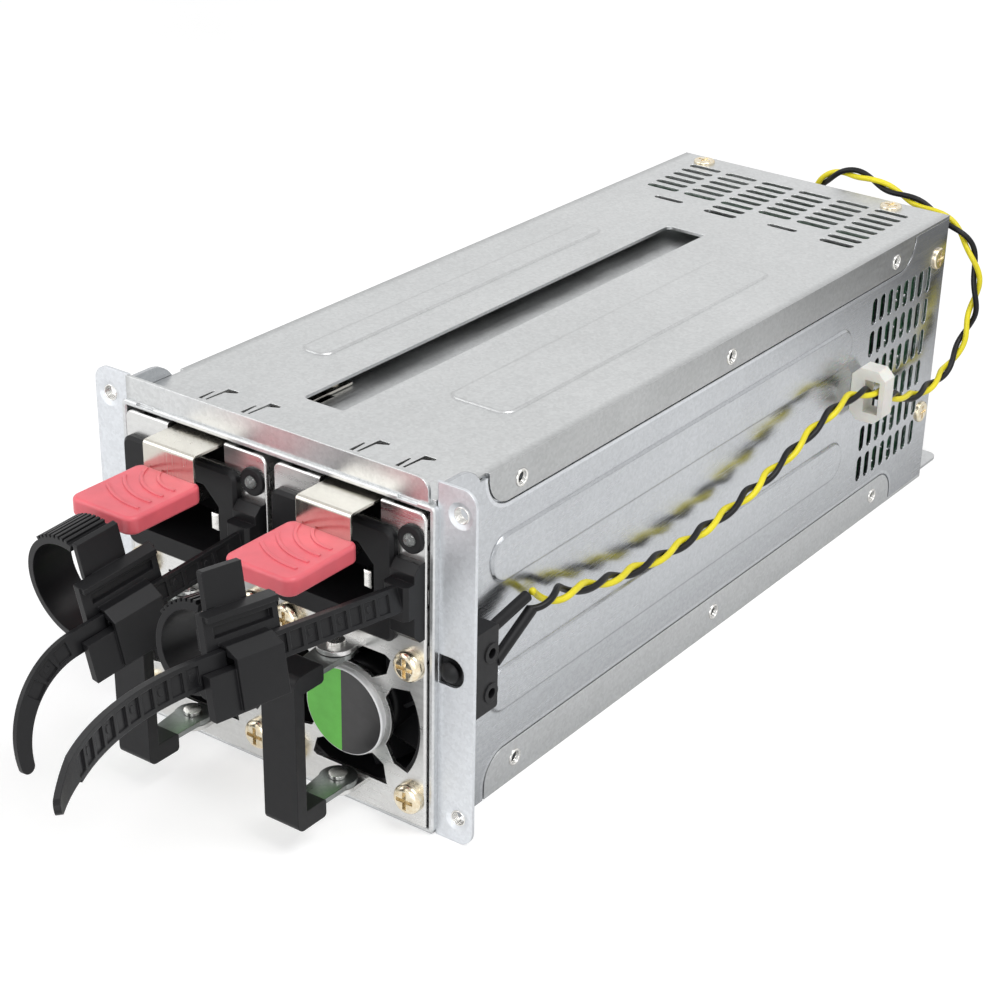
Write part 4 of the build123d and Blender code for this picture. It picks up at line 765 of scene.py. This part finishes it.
@dataclass
class AlarmLead:
    """Twisted pair from the alarm switch, through its saddle, round to the rear bushing."""

    length: float = 335.4 * MM
    pair_diameter: float = 3.2 * MM
    wire_radius: float = 0.78 * MM
    lay: float = 19.5 * MM
    open_length: float = 15.0 * MM
    open_spread: float = 1.1 * MM
    closeness: float = 1.02
    swells: tuple[tuple[float, float], ...] = ((0.12 * MM, 11.0 * MM), (0.1 * MM, 4.7 * MM))
    ring_sides: int = 12
    step: float = 0.8 * MM
    route: tuple = (
        (45.9, 26.2, 46.2), (46.0, 44.0, 41.4), (46.1, 63.98, 36.8), (46.3, 85.94, 35.0), (46.5, 108.09, 36.0),
        (46.9, 129.06, 39.6), (47.5, 150.02, 45.4), (48.0, 165.45, 47.8), (48.2, 182.07, 41.4),
        (48.2, 198.09, 34.6), (48.0, 211.93, 34.0), (47.4, 223.41, 35.8), (47.6, 230.5, 42.0), (48.9, 232.6, 52.0),
        (48.2, 232.6, 62.0), (43.68, 232.6, 70.4), (34.02, 232.4, 75.2), (21.0, 232.2, 78.0), (7.98, 232.2, 81.4),
        (-1.68, 234.0, 77.4), (-6.5, 235.5, 69.494), (-8.2, 237.5, 59.994), (-8.2, 238.2, 51.494),
        (-8.1, 235.6, 44.994), (-8.0, 229.9, 41.194), (-8.0, 223.2, 40.894),
    )

    def centre_line(self) -> list[Vector]:
        """Points along the smooth line that the route controls.

        Returns:
            The points in order, in metres.
        """
        data = bpy.data.curves.new("lead_line", "CURVE")
        data.dimensions = "3D"
        data.resolution_u = 24
        spline = data.splines.new("NURBS")
        spline.points.add(len(self.route) - 1)
        for point, place in zip(spline.points, self.route):
            point.co = (*(value * MM for value in place), 1.0)
        spline.order_u = 3
        spline.use_endpoint_u = True
        holder = bpy.data.objects.new("lead_line", data)
        bpy.context.scene.collection.objects.link(holder)
        bpy.context.view_layer.update()
        mesh = bpy.data.meshes.new_from_object(holder)
        points = [vertex.co.copy() for vertex in mesh.vertices]
        bpy.data.objects.remove(holder)
        bpy.data.curves.remove(data)
        bpy.data.meshes.remove(mesh)
        return points

    def even_line(self, points: list[Vector]) -> list[Vector]:
        """The same line with evenly spaced points.

        Args:
            points: points along the line.

        Returns:
            The even points.
        """
        runs = [(b - a).length for a, b in zip(points, points[1:])]
        total = sum(runs)
        count = max(2, round(total / self.step))
        even, index, passed = [], 0, 0.0
        for number in range(count + 1):
            wanted = total * number / count
            while index < len(runs) - 1 and passed + runs[index] < wanted:
                passed += runs[index]
                index += 1
            share = min(1.0, (wanted - passed) / max(runs[index], 1e-9))
            even.append(points[index].lerp(points[index + 1], share))
        return even

    def frames(self, line: list[Vector]) -> list[tuple[Vector, Vector]]:
        """Two side directions at each point, carried along without twist.

        Args:
            line: even points.

        Returns:
            Pairs of side directions.
        """
        found = []
        up = Vector((0.0, 0.0, 1.0))
        for number, point in enumerate(line):
            after = line[min(number + 1, len(line) - 1)]
            before = line[max(number - 1, 0)]
            along = (after - before).normalized()
            up = (up - along * up.dot(along)).normalized()
            found.append((up.copy(), along.cross(up)))
        return found

    def strand_line(self, strand: Strand, line: list[Vector]) -> list[Vector]:
        """Line of one wire, wound round the middle line.

        Args:
            strand: which wire.
            line: even points of the middle line.

        Returns:
            Points of the wire.
        """
        wound = []
        for number, (point, (up, across)) in enumerate(zip(line, self.frames(line))):
            travelled = number * self.step
            turn = 2.0 * math.pi * travelled / self.lay + strand.value
            loose = max(0.0, 1.0 - travelled / self.open_length)
            swell = sum(height * math.sin(travelled / length) for height, length in self.swells)
            reach = self.wire_radius * self.closeness + self.open_spread * loose ** 0.7 + max(0.0, swell)
            wound.append(point + up * (reach * math.cos(turn)) + across * (-reach * math.sin(turn)))
        return wound

    def tube(self, mesh: bmesh.types.BMesh, line: list[Vector], finish: int) -> None:
        """Sweep a wire's ring along a line.

        Args:
            mesh: mesh that receives the tube.
            line: points of its middle.
            finish: material index.
        """
        rings = []
        for point, (up, across) in zip(line, self.frames(line)):
            place = Matrix.Identity(4)
            place.col[0][:3] = up
            place.col[1][:3] = across
            place.col[2][:3] = up.cross(across)
            place.col[3][:3] = point
            made = bmesh.ops.create_circle(mesh, segments=self.ring_sides, radius=self.wire_radius,
                                           matrix=place)
            rings.append(made["verts"])
        faces = []
        for first, second in zip(rings, rings[1:]):
            for number in range(self.ring_sides):
                beside = (number + 1) % self.ring_sides
                corners = (first[number], first[beside], second[beside], second[number])
                faces.append(mesh.faces.new(corners))
        faces += [mesh.faces.new(list(reversed(rings[0]))), mesh.faces.new(rings[-1])]
        for face in faces:
            face.material_index = finish
            face.smooth = True

    def build(self, finishes: Finishes) -> None:
        """Args:
            finishes: the finishes.
        """
        line = self.even_line(self.centre_line())
        mesh = bmesh.new()
        for index, strand in enumerate(Strand):
            self.tube(mesh, self.strand_line(strand, line), index)
        bmesh.ops.recalc_face_normals(mesh, faces=mesh.faces)
        pair = new_piece("alarm_lead_pair", mesh)
        finishes.dress(pair, "wire_yellow", "wire_black")
        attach(pair, "cage")
        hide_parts("alarm_lead")
        log.info("alarm lead: %d faces", len(pair.data.polygons))


@dataclass
class Cage:
    """Sheet metal cage with its rear bay, switch and saddle."""

    finish_of: dict[str, str] = field(default_factory=lambda: {
        "side_panel_left": "galvanised_side", "side_panel_right": "galvanised_side",
        "top_cover": "galvanised_cover", "base_panel": "galvanised", "front_rim": "rim_steel",
        "rear_panel": "galvanised", "harness_bushing": "black_nylon", "lead_bushing": "black_nylon",
        "cage_screws": "screw_zinc",
        "backplane_board": "solder_mask", "bay_sockets": "component", "distribution_board": "solder_mask",
        "rear_bay_parts": "component", "alarm_switch": "black_plastic", "alarm_button": "black_plastic",
        "alarm_sleeves": "sleeve", "lead_saddle": "white_nylon",
    })
    joint_columns: int = 9
    joint_pitch: float = 2.54 * MM
    joint_squeeze: float = 0.62
    joint_start: tuple[float, float] = (2.0 * MM, 3.0 * MM)
    joint_height: float = 0.9 * MM
    joint_radii: tuple[float, float] = (0.8 * MM, 0.25 * MM)
    panel_x: float = 42.0 * MM
    flange_first: float = 27.4 * MM
    flange_pitch: float = 83.2 * MM
    flange_heights: tuple[float, float] = (73.1 * MM, 5.3 * MM)
    ear_x: float = 47.1 * MM
    ear_heights: tuple[float, float] = (5.9 * MM, 76.4 * MM)
    collar: tuple[float, float] = (1.72 * MM, 0.34 * MM)
    collar_proud: float = 0.02 * MM
    flange_thread: tuple[float, float] = (1.32 * MM, 0.16 * MM)
    flange_thread_depths: tuple[float, float] = (0.25, 0.55)
    ear_thread: tuple[float, float] = (1.68 * MM, 0.17 * MM)
    ear_threads: int = 5

    def build(self, nodes: dict[str, bpy.types.Object], finishes: Finishes) -> None:
        """Dress the cage nodes and add the solder joints of the upright board.

        Args:
            nodes: CAD nodes by name.
            finishes: the finishes.
        """
        for name, finish in self.finish_of.items():
            finishes.dress(nodes[name], finish)
        self.solder_joints(finishes)
        self.thread_collars(finishes)
        log.info("cage: %d nodes dressed", len(self.finish_of))

    def thread_collars(self, finishes: Finishes) -> None:
        """Bright formed collars of the threaded holes in the flanges, and threads in the ear holes.

        Args:
            finishes: the finishes.
        """
        mesh = bmesh.new()
        for side in Side:
            for number in range(3):
                y = self.flange_first + number * self.flange_pitch
                for z in self.flange_heights:
                    outer = (side.value * (self.panel_x + self.collar_proud), y, z)
                    turned_ring(mesh, "X", outer, *self.collar)
                    for depth in self.flange_thread_depths:
                        inner = (side.value * (self.panel_x - depth * MM), y, z)
                        turned_ring(mesh, "X", inner, *self.flange_thread)
            for z in self.ear_heights:
                for turn in range(self.ear_threads):
                    place = (side.value * self.ear_x, (0.45 + 0.4 * turn) * MM, z)
                    turned_ring(mesh, "Y", place, *self.ear_thread)
        collars = new_piece("thread_collars", mesh)
        finishes.dress(collars, "contact")
        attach(collars, "cage")

    def solder_joints(self, finishes: Finishes) -> None:
        """Solder spots on the outer face of the upright board, seen through the side vents.

        Args:
            finishes: the finishes.
        """
        low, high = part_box("distribution_board")
        bottom, top = self.joint_radii
        mesh = bmesh.new()
        for column in range(self.joint_columns):
            for row in range(int((high.z - low.z) / self.joint_pitch) - 2):
                if (column * 5 + row * 3) % 7 in (0, 3, 5):
                    continue
                y = low.y + self.joint_start[0] + column * self.joint_pitch * self.joint_squeeze
                z = low.z + self.joint_start[1] + row * self.joint_pitch
                place = Matrix.Translation((high.x, y, z)) @ Matrix.Rotation(math.radians(90), 4, "Y")
                bmesh.ops.create_cone(mesh, cap_ends=True, segments=10, radius1=bottom, radius2=top,
                                      depth=self.joint_height, matrix=place)
        joints = new_piece("solder_joints", mesh)
        finishes.dress(joints, "solder")
        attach(joints, "cage")


@dataclass(frozen=True)
class StrapRun:
    """How one ladder strap is turned at its root, runs straight, and curls."""

    tilt: float
    yaw: float
    roll: float
    straight: float
    curl_radius: float
    curl_angle: float
    droops: bool
    lean: float = 20.0
    pitch: float = 4.3 * MM
    first: float = 10.0 * MM
    plain_root: float = 12.0 * MM
    plain_tip: float = 14.0 * MM
    pocket_floor: float = 0.2 * MM

    def turned(self) -> Matrix:
        """Turn from the strap's frame into the module's."""
        tilt = Matrix.Rotation(math.radians(-self.tilt), 4, "X")
        return Matrix.Rotation(math.radians(self.yaw), 4, "Z") @ tilt @ Matrix.Rotation(
            math.radians(self.roll), 4, "Y")

    def pockets(self) -> list[tuple[Vector, Vector]]:
        """Middle and facing of each ladder pocket, in the strap's frame.

        Returns:
            Pairs of the pocket floor's middle and its normal.
        """
        lean = math.radians(self.lean)
        outward = Vector((math.cos(lean), 0.0, math.sin(lean)))
        upward = Vector((-math.sin(lean), 0.0, math.cos(lean)))
        back = Vector((0.0, 1.0, 0.0))
        curl_way = -upward if self.droops else Vector((1.0, 0.0, 0.0))
        found = []
        for number in range(int((self.straight - self.plain_root) / self.pitch)):
            middle = back * (-self.first - number * self.pitch)
            found.append((middle + outward * self.pocket_floor, outward))
        arc = self.curl_radius * math.radians(self.curl_angle) - self.plain_tip
        for number in range(int(arc / self.pitch)):
            turn = (number + 0.8) * self.pitch / self.curl_radius
            along = curl_way * math.sin(turn) - back * math.cos(turn)
            middle = curl_way * (self.curl_radius * (1.0 - math.cos(turn)))
            middle -= back * (self.straight + self.curl_radius * math.sin(turn))
            facing = outward if self.droops else upward.cross(along)
            found.append((middle + facing * self.pocket_floor, facing))
        return found


STRAP_RUNS = {
    Side.LEFT: StrapRun(-5.8, -3.0, 11.5, 49.5 * MM, 16.5 * MM, 94.0, True),
    Side.RIGHT: StrapRun(9.0, 0.0, 3.0, 60.0 * MM, 82.0 * MM, 40.6, False),
}


@dataclass
class PowerModule:
    """One hot swap module: plate, fan, inlet, latch, handle and cord retainer."""

    side: Side
    pitch: float = 41.4 * MM
    fan_z: float = 24.5 * MM
    label_radius: float = 10.2 * MM
    strap_x: float = 17.4 * MM
    strap_y: float = -3.2 * MM
    strap_z: float = 58.0 * MM
    mark_radius: float = 0.9 * MM
    mark_height: float = 0.24 * MM
    finish_of: dict[str, str] = field(default_factory=lambda: {
        "case": "galvanised", "front_plate": "plated", "fan_frame": "black_plastic", "fan_rotor": "black_plastic",
        "plate_screws": "screw_zinc", "inlet_housing": "black_plastic", "inlet_pins": "contact",
        "lamp_ring": "black_plastic", "lamp_lens": "clear_lens", "latch_spring": "latch_steel",
        "latch_tab": "coral_plastic", "handle_grip": "black_plastic", "handle_leaves": "handle_zinc",
        "handle_rivets": "contact", "strap": "black_nylon", "clamp_slider": "black_nylon",
        "clamp_loop": "black_nylon", "main_board": "solder_mask", "board_parts": "component",
    })

    def build(self, nodes: dict[str, bpy.types.Object], finishes: Finishes) -> None:
        """Dress the nodes of this module.

        Args:
            nodes: CAD nodes by name.
            finishes: the finishes.
        """
        for name, finish in self.finish_of.items():
            finishes.dress(nodes[f"{name}_{self.side.word}"], finish)
        label = LabelFilm(self.side, self.side.value * self.pitch / 2, self.fan_z, self.label_radius)
        finishes.made[label.side.word] = label.build()
        finishes.dress(nodes[f"fan_label_{self.side.word}"], label.side.word)
        self.strap_marks(finishes)
        log.info("module %s: %d nodes dressed", self.side.word, len(self.finish_of) + 1)

    def strap_marks(self, finishes: Finishes) -> None:
        """Round ejector marks in the pockets of the ladder strap.

        Args:
            finishes: the finishes.
        """
        run = STRAP_RUNS[self.side]
        centre_x = self.side.value * self.pitch / 2
        root = Matrix.Translation((centre_x + self.strap_x, self.strap_y, self.strap_z))
        mesh = bmesh.new()
        for middle, facing in run.pockets()[1::2]:
            turn = facing.to_track_quat("Z", "Y").to_matrix().to_4x4()
            place = root @ run.turned() @ Matrix.Translation(middle) @ turn
            bmesh.ops.create_cone(mesh, cap_ends=True, segments=20, radius1=self.mark_radius,
                                  radius2=0.8 * self.mark_radius, depth=self.mark_height, matrix=place)
        marks = new_piece(f"strap_marks_{self.side.word}", mesh)
        finishes.dress(marks, "black_nylon")
        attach(marks, f"module_{self.side.word}")


@dataclass
class Studio:
    """Floor, soft lights, world and the camera of the picture."""

    place: Colour = (278.75 * MM, -307.30 * MM, 269.48 * MM)
    turn_degrees: Colour = (62.3855, -2.4779, 33.7510)
    lens: float = 79.858
    shift: tuple[float, float] = (-0.11655, 0.05793)
    floor_size: float = 8.0
    floor_tone: float = 0.62
    # Painted shade and painted shadow on the floor, seen in reflections only: darker far behind and beside the
    # object.
    far_reflection_shade: float = 0.22
    far_reflection_shade_span: tuple[float, float] = (260.0 * MM, 375.0 * MM)
    near_reflection_shadow: float = 0.6
    near_reflection_shadow_span: tuple[float, float] = (44.0 * MM, 75.0 * MM)
    near_glow: float = 0.5
    far_glow: float = 0.75
    glow_span: tuple[float, float] = (0.45, 1.1)
    surround: float = 0.5
    lamps: tuple[tuple[str, Colour, float, float], ...] = (
        ("key", (0.55, 0.05, 1.0), 0.6, 6.0), ("fill", (-0.75, -0.75, 0.65), 0.8, 4.0),
        ("front", (0.35, -1.0, 0.35), 0.7, 4.5))
    aim: Colour = (0.0, 0.1, 0.04)

    def build(self) -> None:
        """Make the stage, the lights and the camera."""
        self.floor()
        self.world()
        for lamp in self.lamps:
            self.lamp(*lamp)
        self.camera()

    def floor(self) -> None:
        """Pale floor that stays white to the camera and keeps a soft shadow; in reflections it carries painted
        shadow beside the object and painted shade far behind it.
        """
        mesh = bmesh.new()
        bmesh.ops.create_grid(mesh, x_segments=1, y_segments=1, size=self.floor_size / 2)
        floor = new_piece("floor", mesh)
        floor.location.z = -0.05 * MM
        graph = Graph("floor")
        graph.set(Roughness=0.9, Specular_IOR_Level=0.1)
        path = graph.nodes.new("ShaderNodeLightPath")
        seen = graph.sums("MAXIMUM", path.outputs["Is Camera Ray"], path.outputs["Is Transmission Ray"])
        # Painted shade: the floor far behind the object is darker in reflections.
        painted_far_shade = graph.span(graph.axis("Y"), 1.0, self.far_reflection_shade, *self.far_reflection_shade_span)
        # Painted shadow: the floor beside the object is darker in reflections, except in front of it.
        beside = graph.sums("ABSOLUTE", graph.axis("X"), 0.0)
        painted_near_shadow = graph.span(beside, self.near_reflection_shadow, 1.0, *self.near_reflection_shadow_span)
        painted_near_shadow = graph.sums("MAXIMUM", painted_near_shadow, graph.sums("LESS_THAN", graph.axis("Y"), 0.0))
        painted_reflection_shading = graph.times(painted_far_shade, painted_near_shadow, path.outputs["Is Glossy Ray"])
        seen = graph.sums("MAXIMUM", seen, painted_reflection_shading)
        depth = graph.sums("ABSOLUTE", graph.axis("Y"), 0.0)
        glows = [graph.span(way, self.near_glow, self.far_glow, *self.glow_span) for way in (beside, depth)]
        strength = graph.times(seen, graph.sums("MAXIMUM", *glows))
        graph.set(Emission_Color=(1.0, 1.0, 1.0, 1.0), Emission_Strength=strength)
        # The floor's colour in reflections carries the same painted shade and painted shadow.
        other = graph.sums("SUBTRACT", 1.0, path.outputs["Is Glossy Ray"])
        tone = graph.times(graph.sums("MAXIMUM", other, painted_reflection_shading), self.floor_tone)
        graph.set(Base_Color=graph.lit((1.0, 1.0, 1.0), tone))
        floor.data.materials.append(graph.material)

    def world(self) -> None:
        """White surroundings to the camera, and plain soft light."""
        world = bpy.data.worlds.new("studio")
        bpy.context.scene.world = world
        world.use_nodes = True
        nodes, links = world.node_tree.nodes, world.node_tree.links
        back = next(n for n in nodes if n.type == "BACKGROUND")
        path = nodes.new("ShaderNodeLightPath")
        largest = nodes.new("ShaderNodeMath")
        largest.operation = "MAXIMUM"
        links.new(path.outputs["Is Camera Ray"], largest.inputs[0])
        links.new(path.outputs["Is Transmission Ray"], largest.inputs[1])
        either = nodes.new("ShaderNodeMath")
        either.operation = "MAXIMUM"
        links.new(largest.outputs["Value"], either.inputs[0])
        links.new(path.outputs["Is Glossy Ray"], either.inputs[1])
        strength = nodes.new("ShaderNodeMapRange")
        strength.inputs["To Min"].default_value = self.surround
        strength.inputs["To Max"].default_value = 1.0
        links.new(either.outputs["Value"], strength.inputs["Value"])
        links.new(strength.outputs["Result"], back.inputs["Strength"])
        back.inputs["Color"].default_value = (1.0, 1.0, 1.0, 1.0)

    def lamp(self, name: str, place: Colour, size: float, power: float) -> None:
        """Soft square lamp aimed at the middle of the object.

        Args:
            name: name of the lamp.
            place: where it stands, in metres.
            size: side of the square.
            power: power in watts.
        """
        data = bpy.data.lights.new(name, "AREA")
        data.shape = "SQUARE"
        data.size = size
        data.energy = power
        lamp = bpy.data.objects.new(name, data)
        bpy.context.scene.collection.objects.link(lamp)
        lamp.location = place
        aim = Vector(self.aim) - Vector(place)
        lamp.rotation_euler = aim.to_track_quat("-Z", "Y").to_euler()

    def camera(self) -> None:
        """Camera at the viewing angle of the picture."""
        data = bpy.data.cameras.new("camera")
        data.sensor_width = 36.0
        data.lens = self.lens
        data.shift_x, data.shift_y = self.shift
        data.clip_start, data.clip_end = 0.01, 50.0
        camera = bpy.data.objects.new("camera", data)
        bpy.context.scene.collection.objects.link(camera)
        camera.location = self.place
        camera.rotation_euler = tuple(math.radians(angle) for angle in self.turn_degrees)
        bpy.context.scene.camera = camera


def main() -> None:
    """Build every piece round the frame."""
    logging.basicConfig(level=logging.INFO, format="%(name)s: %(message)s")
    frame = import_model()
    bpy.context.scene.view_settings.view_transform = "Standard"
    finishes = Finishes()
    Studio().build()
    AlarmLead().build(finishes)
    Cage().build(frame["nodes"], finishes)
    for side in Side:
        PowerModule(side).build(frame["nodes"], finishes)


if __name__ == "__main__":
    main()
